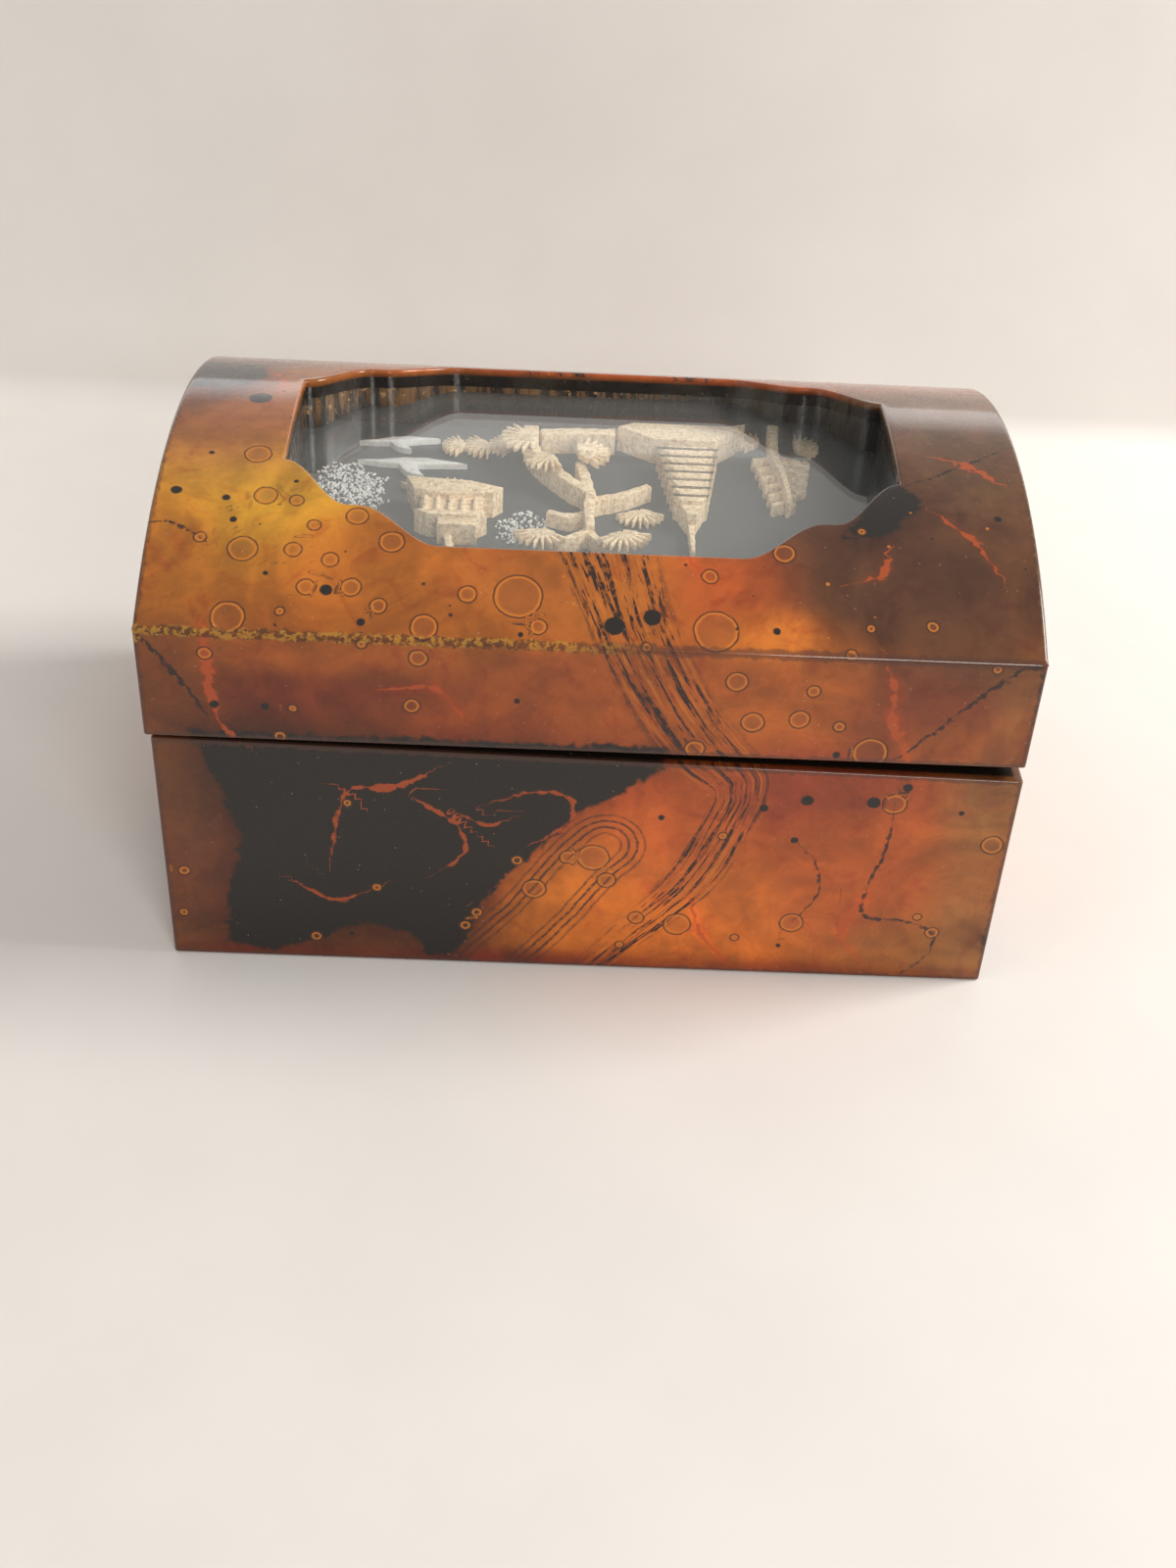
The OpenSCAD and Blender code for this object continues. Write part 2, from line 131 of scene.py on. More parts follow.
@dataclass(frozen=True)
class BoxSizes:
    """Main sizes of the box, all read from the CAD frame."""

    half_w: float
    half_d: float
    in_half_d: float
    rim_z: float
    sag: float
    lid_left: float
    lid_right: float
    lid_z: float
    arch: Arch
    dome_t: float
    glass_z: float
    picture_z: float
    lid_mid_x: float

    @classmethod
    def from_frame(cls) -> "BoxSizes":
        """Reads every size from the CAD nodes."""
        front_low, front_high = node_box("base_front_board")
        floor_high = node_box("base_floor_board")[1]
        rail_low, rail_high = node_box("lid_front_rail")
        dome_high = node_box("lid_dome")[1]
        front = node_points("base_front_board")
        right_top = front[front[:, 0] > front_high[0] - 0.1][:, 2].max()
        end_top = node_box("lid_left_end")[1][2]
        return cls(
            half_w=front_high[0],
            half_d=-front_low[1],
            in_half_d=floor_high[1],
            rim_z=front_high[2],
            sag=front_high[2] - right_top,
            lid_left=rail_low[0],
            lid_right=rail_high[0],
            lid_z=rail_low[2],
            arch=Arch(-front_low[1], rail_high[2], dome_high[2]),
            dome_t=dome_high[2] - end_top,
            glass_z=node_box("window_glass")[1][2],
            picture_z=node_box("picture_backing")[1][2],
            lid_mid_x=(rail_low[0] + rail_high[0]) / 2,
        )

    def rim_drop(self, x: np.ndarray, y: np.ndarray) -> np.ndarray:
        """How far the base's top edge has shrunk away at a place."""
        across = np.clip((x + self.half_w) / (2 * self.half_w), 0, 1)
        forward = np.clip((self.in_half_d - y) / (2 * self.in_half_d), 0, 1)
        return self.sag * across * forward


@dataclass(frozen=True)
class Cartouche:
    """Outline of the window: straight edges joined to short ends by two scallops at each corner."""

    centre_x: float
    centre_y: float
    width: float = 121.5
    depth: float = 76.0
    straight: float = 58.0
    end: float = 34.0
    shoulder: float = 2.0
    scallop: float = 9.0

    def quarter(self) -> list[tuple[float, float]]:
        """Points of the quarter with both coordinates positive, from the straight edge to the end."""
        mid_x = (self.straight + self.width) / 4 + 1.5
        mid_y = self.depth / 2 - self.scallop
        stretches = [
            ((self.straight / 2, self.depth / 2), (mid_x - self.shoulder / 2, mid_y)),
            ((mid_x + self.shoulder / 2, mid_y), (self.width / 2, self.end / 2)),
        ]
        points = []
        for start, stop in stretches:
            for t in np.linspace(0, 1, 15):
                swing = (1 - math.cos(math.pi * t)) / 2
                points.append((start[0] + (stop[0] - start[0]) * t, start[1] + (stop[1] - start[1]) * swing))
        return points

    def outline(self, count: int) -> np.ndarray:
        """The whole outline, evenly spaced and anticlockwise from its right-hand end.

        Args:
            count: number of points.

        Returns:
            Points in plan, one row each.
        """
        quarter = self.quarter()
        mirrored = [(-x, y) for x, y in quarter]
        upper = [(self.width / 2, 0.0)] + quarter[::-1] + mirrored + [(-self.width / 2, 0.0)]
        lower = [(x, -y) for x, y in upper[-2:0:-1]]
        corners = np.array(upper + lower + [upper[0]])
        run = np.concatenate([[0], np.cumsum(np.hypot(*np.diff(corners, axis=0).T))])
        at = np.linspace(0, run[-1], count, endpoint=False)
        x = np.interp(at, run, corners[:, 0]) + self.centre_x
        y = np.interp(at, run, corners[:, 1]) + self.centre_y
        return np.stack([x, y], 1)


# ---------------------------------------------------------------- mesh helpers


def add_object(name: str, mesh: bpy.types.Mesh) -> bpy.types.Object:
    """Links a new object with this mesh at the origin."""
    obj = bpy.data.objects.new(name, mesh)
    bpy.context.scene.collection.objects.link(obj)
    return obj


def mesh_object(name: str, points: np.ndarray, faces: Sequence[Sequence[int]]) -> bpy.types.Object:
    """Makes an object from points in millimetres.

    Args:
        name: name of the piece.
        points: one row for each vertex.
        faces: vertex numbers of each face, turned outwards.

    Returns:
        The new object, smooth shaded.
    """
    mesh = bpy.data.meshes.new(name)
    mesh.from_pydata((np.asarray(points) * MM).tolist(), [], [list(f) for f in faces])
    mesh.update()
    mesh.shade_smooth()
    return add_object(name, mesh)


def outward(obj: bpy.types.Object) -> None:
    """Merges doubles and turns every face of a closed mesh outwards."""
    bm = bmesh.new()
    bm.from_mesh(obj.data)
    bmesh.ops.remove_doubles(bm, verts=bm.verts, dist=1e-6)
    bmesh.ops.recalc_face_normals(bm, faces=bm.faces)
    bm.to_mesh(obj.data)
    bm.free()


def bake_modifiers(obj: bpy.types.Object) -> bpy.types.Object:
    """Replaces an object's mesh by its evaluated one and removes its modifiers."""
    depsgraph = bpy.context.evaluated_depsgraph_get()
    mesh = bpy.data.meshes.new_from_object(obj.evaluated_get(depsgraph))
    obj.modifiers.clear()
    old = obj.data
    obj.data = mesh
    if old.users == 0:
        bpy.data.meshes.remove(old)
    return obj


def sharpen(obj: bpy.types.Object, degrees: float = 30.0) -> None:
    """Keeps the edges crisp where faces meet at more than an angle."""
    obj.data.set_sharp_from_angle(angle=math.radians(degrees))


def joined(name: str, parts: Sequence[bpy.types.Object]) -> bpy.types.Object:
    """Joins several mesh objects, all at the origin, into one new piece."""
    bm = bmesh.new()
    for part in parts:
        bm.from_mesh(part.data)
    mesh = bpy.data.meshes.new(name)
    bm.to_mesh(mesh)
    bm.free()
    for slot in parts[0].data.materials:
        mesh.materials.append(slot)
    for part in parts:
        bpy.data.objects.remove(part)
    return add_object(name, mesh)


def axis_lines(low: float, high: float, r_low: float, r_high: float, step: float) -> np.ndarray:
    """Grid lines from low to high, closer together where an edge is rounded."""
    fine = (0.0, 0.12, 0.35, 0.65, 1.0)
    count = max(2, int(round((high - low - r_low - r_high) / step)) + 1)
    lines = list(np.linspace(low + r_low, high - r_high, count))
    if r_low:
        lines += [low + r_low * f for f in fine[:-1]]
    if r_high:
        lines += [high - r_high * f for f in fine[:-1]]
    return np.array(sorted(lines))


def rounded_block(
    low: Sequence[float], high: Sequence[float], r_low: Sequence[float], r_high: Sequence[float], step: float
) -> tuple[np.ndarray, list[tuple[int, ...]]]:
    """A closed block of small quads, rounded where two rounded sides meet.

    Args:
        low: lowest corner.
        high: highest corner.
        r_low: radius given to the low side of each axis, zero for a flush joint.
        r_high: the same for the high sides.
        step: size of the quads.

    Returns:
        The points and the faces.
    """
    lines = [axis_lines(low[a], high[a], r_low[a], r_high[a], step) for a in range(3)]
    shape = tuple(len(line) for line in lines)
    index = np.indices(shape)
    shell = np.zeros(shape, bool)
    for a in range(3):
        shell |= (index[a] == 0) | (index[a] == shape[a] - 1)
    number = np.full(shape, -1)
    number[shell] = np.arange(shell.sum())
    points = np.stack([lines[a][index[a][shell]] for a in range(3)], 1)
    inner = np.clip(points, np.add(low, r_low), np.subtract(high, r_high))
    radius = np.where(points < inner, r_low, r_high)
    lean = np.divide(points - inner, radius, out=np.zeros_like(points), where=np.asarray(radius) > 0)
    size = np.linalg.norm(lean, axis=1, keepdims=True)
    reach = np.abs(lean).max(axis=1, keepdims=True)
    points = inner + radius * reach * np.divide(lean, size, out=np.zeros_like(lean), where=size > 0)
    faces: list[tuple[int, ...]] = []
    for a in range(3):
        for end, turned in ((0, True), (shape[a] - 1, False)):
            sheet = np.take(number, end, axis=a)
            quads = np.stack([sheet[:-1, :-1], sheet[1:, :-1], sheet[1:, 1:], sheet[:-1, 1:]],
                             -1).reshape(-1, 4)
            if (a == 1) != turned:
                quads = quads[:, ::-1]
            faces += [tuple(q) for q in quads.tolist()]
    return points, faces


def ring_grid(rings: Sequence[np.ndarray], closed: bool) -> tuple[np.ndarray, list[tuple[int, ...]]]:
    """Joins rings of equally many points into a skin.

    Args:
        rings: each ring's points, one row each.
        closed: whether the last ring joins the first.

    Returns:
        The points and the faces.
    """
    count = len(rings[0])
    points = np.concatenate(rings)
    faces = []
    last = len(rings) if closed else len(rings) - 1
    for k in range(last):
        here = k * count
        there = ((k + 1) % len(rings)) * count
        for i in range(count):
            j = (i + 1) % count
            faces.append((here + i, here + j, there + j, there + i))
    return points, faces


def smooth_path(points: Sequence[Sequence[float]], step: float = 0.5) -> np.ndarray:
    """A Catmull-Rom curve through given points, sampled every step."""
    p = np.array(points, float)
    p = np.vstack([2 * p[0] - p[1], p, 2 * p[-1] - p[-2]])
    out = []
    for i in range(1, len(p) - 2):
        count = max(2, int(np.linalg.norm(p[i + 1] - p[i]) / step))
        t = np.linspace(0, 1, count, endpoint=False)[:, None]
        out.append(0.5 * (2 * p[i] + (p[i + 1] - p[i - 1]) * t
                          + (2 * p[i - 1] - 5 * p[i] + 4 * p[i + 1] - p[i + 2]) * t**2
                          + (3 * p[i] - p[i - 1] - 3 * p[i + 1] + p[i + 2]) * t**3))
    return np.vstack(out + [p[-2:-1]])


def cut_by(obj: bpy.types.Object, cutters: bpy.types.Object) -> None:
    """Subtracts one object from another and removes the cutter."""
    modifier = obj.modifiers.new("cut", "BOOLEAN")
    modifier.operation = "DIFFERENCE"
    modifier.solver = "EXACT"
    modifier.object = cutters
    bake_modifiers(obj)
    bpy.data.objects.remove(cutters)


def slab(
    name: str, outline: Sequence[Sequence[float]], low: float, high: float, bevel: float = 0.18
) -> bpy.types.Object:
    """A flat sheet cut to an outline, with its arrises softened.

    Args:
        name: name of the piece.
        outline: the points of the outline in plan.
        low: height of the underside.
        high: height of the top.
        bevel: width of the softened edge.

    Returns:
        The new object.
    """
    bm = bmesh.new()
    verts = [bm.verts.new((x * MM, y * MM, low * MM)) for x, y in outline]
    face = bm.faces.new(verts)
    raised = bmesh.ops.extrude_face_region(bm, geom=[face])["geom"]
    top = [v for v in raised if isinstance(v, bmesh.types.BMVert)]
    bmesh.ops.translate(bm, verts=top, vec=(0, 0, (high - low) * MM))
    bmesh.ops.recalc_face_normals(bm, faces=bm.faces)
    edges = [e for e in bm.edges if all(v.co.z > (high - 0.01) * MM for v in e.verts)]
    if bevel:
        bmesh.ops.bevel(bm, geom=edges, offset=bevel * MM, segments=2, profile=0.5, affect="EDGES",
                        clamp_overlap=True)
    mesh = bpy.data.meshes.new(name)
    bm.to_mesh(mesh)
    bm.free()
    mesh.shade_smooth()
    obj = add_object(name, mesh)
    sharpen(obj, 35)
    return obj


def limb_outline(path: Sequence[Sequence[float]], start_w: float, end_w: float) -> list[tuple[float, float]]:
    """Outline of a carved branch that follows a path and gets thinner."""
    line = smooth_path(path, 1.0)
    along = np.gradient(line, axis=0)
    along /= np.linalg.norm(along, axis=1, keepdims=True)
    across = np.stack([-along[:, 1], along[:, 0]], 1)
    width = np.linspace(start_w, end_w, len(line))[:, None] / 2
    knots = 1 + 0.12 * np.sin(np.arange(len(line)) * 1.9)[:, None]
    left, right = line + across * width * knots, line - across * width * knots
    return [tuple(p) for p in np.vstack([right, left[::-1]])]


def rectangle(x0: float, y0: float, x1: float, y1: float) -> list[tuple[float, float]]:
    """Outline of an upright rectangle from two opposite corners."""
    return [(x0, y0), (x1, y0), (x1, y1), (x0, y1)]


def bars(items: Sequence[tuple[Sequence[float], Sequence[float], float, float]]) -> list[bpy.types.Object]:
    """Straight bars, each given by its two ends, its width and its thickness."""
    return [slab("bar", limb_outline([a, b], wide, wide), 0, thick) for a, b, wide, thick in items]


# ---------------------------------------------------------------- geometry node trees


class GeometryTree:
    """A geometry node tree built in code, with named inputs."""

    def __init__(self, name: str, inputs: dict[str, tuple[str, object]]) -> None:
        """Starts the tree.

        Args:
            name: name of the tree.
            inputs: for each named input, its socket type and its usual value.
        """
        self.tree = bpy.data.node_groups.new(name, "GeometryNodeTree")
        face = self.tree.interface
        face.new_socket("Geometry", in_out="INPUT", socket_type="NodeSocketGeometry")
        self.sockets: dict[str, str] = {}
        for title, (kind, value) in inputs.items():
            socket = face.new_socket(title, in_out="INPUT", socket_type=kind)
            if value is not None:
                socket.default_value = value
            self.sockets[title] = socket.identifier
        face.new_socket("Geometry", in_out="OUTPUT", socket_type="NodeSocketGeometry")
        self.start = self.tree.nodes.new("NodeGroupInput")
        self.end = self.tree.nodes.new("NodeGroupOutput")

    def add(self, kind: str, feeds: dict[str, object] | None = None, **settings: object) -> bpy.types.Node:
        """Adds a node.

        Args:
            kind: the node's type.
            feeds: for each input name or number, a value or the socket that feeds it.
            settings: the node's own properties.

        Returns:
            The new node.
        """
        node = self.tree.nodes.new(kind)
        for key, value in settings.items():
            setattr(node, key, value)
        for key, value in (feeds or {}).items():
            socket = node.inputs[key]
            if isinstance(value, Socket):
                self.tree.links.new(value, socket)
            else:
                socket.default_value = value
        return node

    def finish(self, geometry: Socket) -> None:
        """Ends the tree in Realize Instances and Set Material."""
        real = self.add("GeometryNodeRealizeInstances", {"Geometry": geometry})
        dressed = self.add(
            "GeometryNodeSetMaterial", {"Geometry": real.outputs[0],
                                        "Material": self.start.outputs["Material"]}
        )
        self.tree.links.new(dressed.outputs[0], self.end.inputs[0])

    def apply(self, obj: bpy.types.Object, **values: object) -> bpy.types.Object:
        """Runs the tree on an object and keeps the result as a plain mesh.

        Args:
            obj: object whose mesh goes into the tree.
            values: a value for each named input, with underscores for spaces.

        Returns:
            The same object with its new mesh.
        """
        modifier = obj.modifiers.new("rule", "NODES")
        modifier.node_group = self.tree
        for title, value in values.items():
            modifier[self.sockets[title.replace("_", " ")]] = value
        return bake_modifiers(obj)


def repeat_tree() -> GeometryTree:
    """A tree that repeats a storey upwards, each one smaller than the one below."""
    tree = GeometryTree(
        "storeys",
        {
            "Count": ("NodeSocketInt", 7),
            "Rise": ("NodeSocketVector", None),
            "Shrink": ("NodeSocketFloat", 0.08),
            "Material": ("NodeSocketMaterial", None),
        },
    )
    start = tree.start.outputs
    one = tree.add("GeometryNodeGeometryToInstance", {0: start["Geometry"]})
    many = tree.add(
        "GeometryNodeDuplicateElements", {"Geometry": one.outputs[0], "Amount": start["Count"]},
        domain="INSTANCE"
    )
    number = many.outputs["Duplicate Index"]
    lift = tree.add("ShaderNodeVectorMath", {0: start["Rise"], "Scale": number}, operation="SCALE")
    moved = tree.add("GeometryNodeTranslateInstances", {0: many.outputs[0], "Translation": lift.outputs[0]})
    less = tree.add("ShaderNodeMath", {0: number, 1: start["Shrink"]}, operation="MULTIPLY")
    size = tree.add("ShaderNodeMath", {0: 1.0, 1: less.outputs[0]}, operation="SUBTRACT")
    wide = tree.add("ShaderNodeCombineXYZ", {"X": size.outputs[0], "Y": 1.0, "Z": 1.0})
    scaled = tree.add("GeometryNodeScaleInstances", {0: moved.outputs[0], "Scale": wide.outputs[0]})
    tree.finish(scaled.outputs[0])
    return tree


def fan_tree() -> GeometryTree:
    """A tree that spreads one leaf blade into a fan."""
    tree = GeometryTree(
        "leaf_fan",
        {
            "Blades": ("NodeSocketInt", 9),
            "Spread": ("NodeSocketFloat", 2.4),
            "Lift": ("NodeSocketFloat", 0.00004),
            "Material": ("NodeSocketMaterial", None),
        },
    )
    start = tree.start.outputs
    one = tree.add("GeometryNodeGeometryToInstance", {0: start["Geometry"]})
    many = tree.add(
        "GeometryNodeDuplicateElements", {"Geometry": one.outputs[0], "Amount": start["Blades"]},
        domain="INSTANCE"
    )
    last = tree.add("ShaderNodeMath", {0: start["Blades"], 1: 1.0}, operation="SUBTRACT")
    share = tree.add("ShaderNodeMath", {0: many.outputs["Duplicate Index"], 1: last.outputs[0]},
                     operation="DIVIDE")
    middle = tree.add("ShaderNodeMath", {0: share.outputs[0], 1: 0.5}, operation="SUBTRACT")
    turn = tree.add("ShaderNodeMath", {0: middle.outputs[0], 1: start["Spread"]}, operation="MULTIPLY")
    axis = tree.add("ShaderNodeCombineXYZ", {"Z": turn.outputs[0]})
    turned = tree.add("GeometryNodeRotateInstances", {0: many.outputs[0], "Rotation": axis.outputs[0]})
    height = tree.add("ShaderNodeMath", {0: many.outputs["Duplicate Index"], 1: start["Lift"]},
                      operation="MULTIPLY")
    raised = tree.add("ShaderNodeCombineXYZ", {"Z": height.outputs[0]})
    lifted = tree.add("GeometryNodeTranslateInstances",
                      {0: turned.outputs[0], "Translation": raised.outputs[0]})
    tree.finish(lifted.outputs[0])
    return tree


def bead_tree() -> GeometryTree:
    """A tree that strews small beads over a surface."""
    tree = GeometryTree(
        "beads",
        {
            "Density": ("NodeSocketFloat", 1e6),
            "Radius": ("NodeSocketFloat", 0.0003),
            "Seed": ("NodeSocketInt", 3),
            "Material": ("NodeSocketMaterial", None),
        },
    )
    start = tree.start.outputs
    spots = tree.add(
        "GeometryNodeDistributePointsOnFaces",
        {"Mesh": start["Geometry"], "Density": start["Density"], "Seed": start["Seed"]},
    )
    ball = tree.add("GeometryNodeMeshIcoSphere", {"Radius": start["Radius"], "Subdivisions": 1})
    size = tree.add("FunctionNodeRandomValue", {2: 0.5, 3: 1.35, "Seed": start["Seed"]})
    put = tree.add(
        "GeometryNodeInstanceOnPoints",
        {"Points": spots.outputs[0], "Instance": ball.outputs[0], "Scale": size.outputs[1]},
    )
    tree.finish(put.outputs[0])
    return tree


def screw_tree() -> GeometryTree:
    """A tree that sets a slotted countersunk screw at every point."""
    tree = GeometryTree(
        "screws",
        {
            "Head": ("NodeSocketFloat", 0.0011),
            "Shank": ("NodeSocketFloat", 0.0005),
            "Sink": ("NodeSocketFloat", 0.0008),
            "Length": ("NodeSocketFloat", 0.0055),
            "Way": ("NodeSocketFloat", 1.0),
            "Material": ("NodeSocketMaterial", None),
        },
    )
    start = tree.start.outputs
    head = tree.add(
        "GeometryNodeMeshCone",
        {"Vertices": 24, "Radius Top": start["Head"], "Radius Bottom": start["Shank"],
         "Depth": start["Sink"]},
    )
    sunk = tree.add("ShaderNodeMath", {0: start["Sink"], 1: -1.0}, operation="MULTIPLY")
    seat = tree.add("ShaderNodeCombineXYZ", {"Z": sunk.outputs[0]})
    head_set = tree.add("GeometryNodeTransform", {"Geometry": head.outputs[0],
                                                  "Translation": seat.outputs[0]})
    shank = tree.add("GeometryNodeMeshCylinder", {"Vertices": 16, "Radius": start["Shank"],
                                                  "Depth": start["Length"]})
    half = tree.add("ShaderNodeMath", {0: start["Length"], 1: -0.5}, operation="MULTIPLY")
    drop = tree.add("ShaderNodeMath", {0: half.outputs[0], 1: -0.0004}, operation="ADD")
    deep = tree.add("ShaderNodeCombineXYZ", {"Z": drop.outputs[0]})
    shank_set = tree.add("GeometryNodeTransform",
                         {"Geometry": shank.outputs[0], "Translation": deep.outputs[0]})
    slot = tree.add("GeometryNodeMeshCube", {"Size": (0.003, 0.0003, 0.0005)})
    cut = tree.add("GeometryNodeMeshBoolean", operation="DIFFERENCE", solver="EXACT")
    tree.tree.links.new(head_set.outputs[0], cut.inputs[0])
    tree.tree.links.new(slot.outputs[0], cut.inputs[1])
    screw = tree.add("GeometryNodeJoinGeometry")
    tree.tree.links.new(cut.outputs[0], screw.inputs[0])
    tree.tree.links.new(shank_set.outputs[0], screw.inputs[0])
    turned = tree.add("ShaderNodeMath", {0: 1.0, 1: start["Way"]}, operation="SUBTRACT")
    angle = tree.add("ShaderNodeMath", {0: turned.outputs[0], 1: math.pi / 2}, operation="MULTIPLY")
    number = tree.add("GeometryNodeInputIndex")
    twist = tree.add("ShaderNodeMath", {0: number.outputs[0], 1: 0.9}, operation="MULTIPLY")
    lay = tree.add("ShaderNodeCombineXYZ", {"X": angle.outputs[0], "Z": twist.outputs[0]})
    points = tree.add("GeometryNodeMeshToPoints", {0: start["Geometry"]})
    put = tree.add(
        "GeometryNodeInstanceOnPoints",
        {"Points": points.outputs[0], "Instance": screw.outputs[0], "Rotation": lay.outputs[0]},
    )
    tree.finish(put.outputs[0])
    return tree


# ---------------------------------------------------------------- shader helpers


class Wiring:
    """Short calls that place and link shader nodes in one tree."""

    def __init__(self, tree: bpy.types.NodeTree) -> None:
        """Works on one shader tree."""
        self.tree = tree

    def add(self, kind: str, feeds: dict[object, object] | None = None,
            **settings: object) -> bpy.types.Node:
        """Adds a node, sets its properties and feeds its inputs."""
        node = self.tree.nodes.new(kind)
        for key, value in settings.items():
            setattr(node, key, value)
        for key, value in (feeds or {}).items():
            self.feed(node.inputs[key], value)
        return node

    def feed(self, socket: Socket, value: object) -> None:
        """Links a socket to another or gives it a value."""
        if isinstance(value, Socket):
            self.tree.links.new(value, socket)
        elif isinstance(value, tuple) and socket.type == "RGBA" and len(value) == 3:
            socket.default_value = (*value, 1.0)
        else:
            socket.default_value = value

    def math(self, operation: str, *values: object, clamp: bool = False) -> Socket:
        """The result of a Math node."""
        return self.add("ShaderNodeMath", dict(enumerate(values)), operation=operation,
                        use_clamp=clamp).outputs[0]

    def times(self, one: object, two: object, clamp: bool = False) -> Socket:
        """Product of two values."""
        return self.math("MULTIPLY", one, two, clamp=clamp)

    def plus(self, one: object, two: object, clamp: bool = False) -> Socket:
        """Sum of two values."""
        return self.math("ADD", one, two, clamp=clamp)

    def minus(self, one: object, two: object, clamp: bool = False) -> Socket:
        """Difference of two values."""
        return self.math("SUBTRACT", one, two, clamp=clamp)

    def vector(self, operation: str, *values: object, out: int = 0) -> Socket:
        """The result of a Vector Math node."""
        return self.add("ShaderNodeVectorMath", dict(enumerate(values)), operation=operation).outputs[out]

    def span(
        self, value: object, low: float, high: float, to_low: float = 0.0, to_high: float = 1.0
    ) -> Socket:
        """A value eased from one range to another."""
        node = self.add("ShaderNodeMapRange", interpolation_type="SMOOTHSTEP")
        for key, part in zip(("Value", "From Min", "From Max", "To Min", "To Max"),
                             (value, low, high, to_low, to_high)):
            self.feed(node.inputs[key], part)
        return node.outputs[0]

    def mix(self, share: object, first: object, second: object, blend: str = "MIX") -> Socket:
        """Two colours mixed."""
        node = self.add("ShaderNodeMix", data_type="RGBA", blend_type=blend, clamp_factor=True)
        self.feed(node.inputs[0], share)
        self.feed(node.inputs[6], first)
        self.feed(node.inputs[7], second)
        return node.outputs[2]

    def noise(
        self, at: Socket, scale: object, detail: float = 3.0, rough: float = 0.55, twist: float = 0.0
    ) -> Socket:
        """The value of a Noise texture."""
        feeds = {"Vector": at, "Scale": scale, "Detail": detail, "Roughness": rough, "Distortion": twist}
        return self.add("ShaderNodeTexNoise", feeds).outputs[0]

    def attribute(self, name: str, out: str = "Fac") -> Socket:
        """An attribute of the mesh."""
        return self.add("ShaderNodeAttribute", attribute_name=name).outputs[out]

    def millimetres(self) -> Socket:
        """Object coordinates in millimetres."""
        place = self.add("ShaderNodeTexCoord").outputs["Object"]
        return self.add("ShaderNodeVectorMath", {0: place, "Scale": 1000.0}, operation="SCALE").outputs[0]

    def bump(self, height: object, strength: float, distance: float) -> Socket:
        """A normal raised by a height, with the distance in millimetres."""
        feeds = {"Height": height, "Strength": strength, "Distance": distance * MM}
        return self.add("ShaderNodeBump", feeds).outputs[0]


def shader_group(
    name: str, inputs: dict[str, tuple[str, object]], outputs: dict[str, str], build: Callable
) -> bpy.types.NodeTree:
    """Builds a shader node group once.

    Args:
        name: name of the group.
        inputs: for each input, its socket type and usual value.
        outputs: for each output, its socket type.
        build: function that takes the wiring and the inputs and gives the outputs by name.

    Returns:
        The group, made on the first call only.
    """
    if name in bpy.data.node_groups:
        return bpy.data.node_groups[name]
    tree = bpy.data.node_groups.new(name, "ShaderNodeTree")
    for title, (kind, value) in inputs.items():
        socket = tree.interface.new_socket(title, in_out="INPUT", socket_type=kind)
        if value is not None:
            socket.default_value = value
    for title, kind in outputs.items():
        tree.interface.new_socket(title, in_out="OUTPUT", socket_type=kind)
    start, end = tree.nodes.new("NodeGroupInput"), tree.nodes.new("NodeGroupOutput")
    for title, socket in build(Wiring(tree), start.outputs).items():
        tree.links.new(socket, end.inputs[title])
    return tree


def wear_group() -> bpy.types.NodeTree:
    """Fine scratches and dust: masks for both and a height for the scratches."""

    def build(w: Wiring, given: bpy.types.NodeOutputs) -> dict[str, Socket]:
        """Wires the group."""
        at = given["Place"]
        masks = []
        for turn, stretch in ((0.5, 0.05), (1.9, 0.03), (2.7, 0.06)):
            laid = w.add(
                "ShaderNodeMapping",
                {"Vector": at, "Rotation": (0.4, turn, turn), "Scale": (1.0, stretch, 1.0)},
            ).outputs[0]
            cells = w.add("ShaderNodeTexVoronoi", {"Vector": laid, "Scale": given["Scratch Scale"]},
                          feature="F1")
            masks.append(w.span(cells.outputs["Distance"], 0.0, 0.055, 1.0, 0.0))
        scratch = w.math("MAXIMUM", w.math("MAXIMUM", masks[0], masks[1]), masks[2])
        patch = w.span(w.noise(at, 0.06, 2.0), 0.42, 0.62)
        scratch = w.times(scratch, w.times(patch, given["Scratches"]), clamp=True)
        motes = w.add("ShaderNodeTexVoronoi", {"Vector": at, "Scale": given["Dust Scale"]}, feature="F1")
        parted = w.add("ShaderNodeSeparateColor", {0: motes.outputs["Color"]})
        chosen = w.math("GREATER_THAN", parted.outputs[0], 0.72)
        speck = w.times(w.span(motes.outputs["Distance"], 0.05, 0.12, 1.0, 0.0), chosen)
        dust = w.times(speck, given["Dust"], clamp=True)
        return {"Scratch": scratch, "Dust Mask": dust}

    return shader_group(
        "wear",
        {
            "Place": ("NodeSocketVector", None),
            "Scratch Scale": ("NodeSocketFloat", 0.6),
            "Scratches": ("NodeSocketFloat", 1.0),
            "Dust Scale": ("NodeSocketFloat", 0.9),
            "Dust": ("NodeSocketFloat", 1.0),
        },
        {"Scratch": "NodeSocketFloat", "Dust Mask": "NodeSocketFloat"},
        build,
    )


def new_material(name: str) -> tuple[bpy.types.Material, Wiring, bpy.types.Node]:
    """A material with its wiring and its main shader."""
    material = bpy.data.materials.new(name)
    material.use_nodes = True
    return material, Wiring(material.node_tree), material.node_tree.nodes["Principled BSDF"]


def worn(w: Wiring, at: Socket, **values: float) -> bpy.types.NodeOutputs:
    """Places the wear group in a material."""
    node = w.add("ShaderNodeGroup", node_tree=wear_group())
    w.feed(node.inputs["Place"], at)
    for key, value in values.items():
        w.feed(node.inputs[key.replace("_", " ")], value)
    return node.outputs


# ---------------------------------------------------------------- finishes


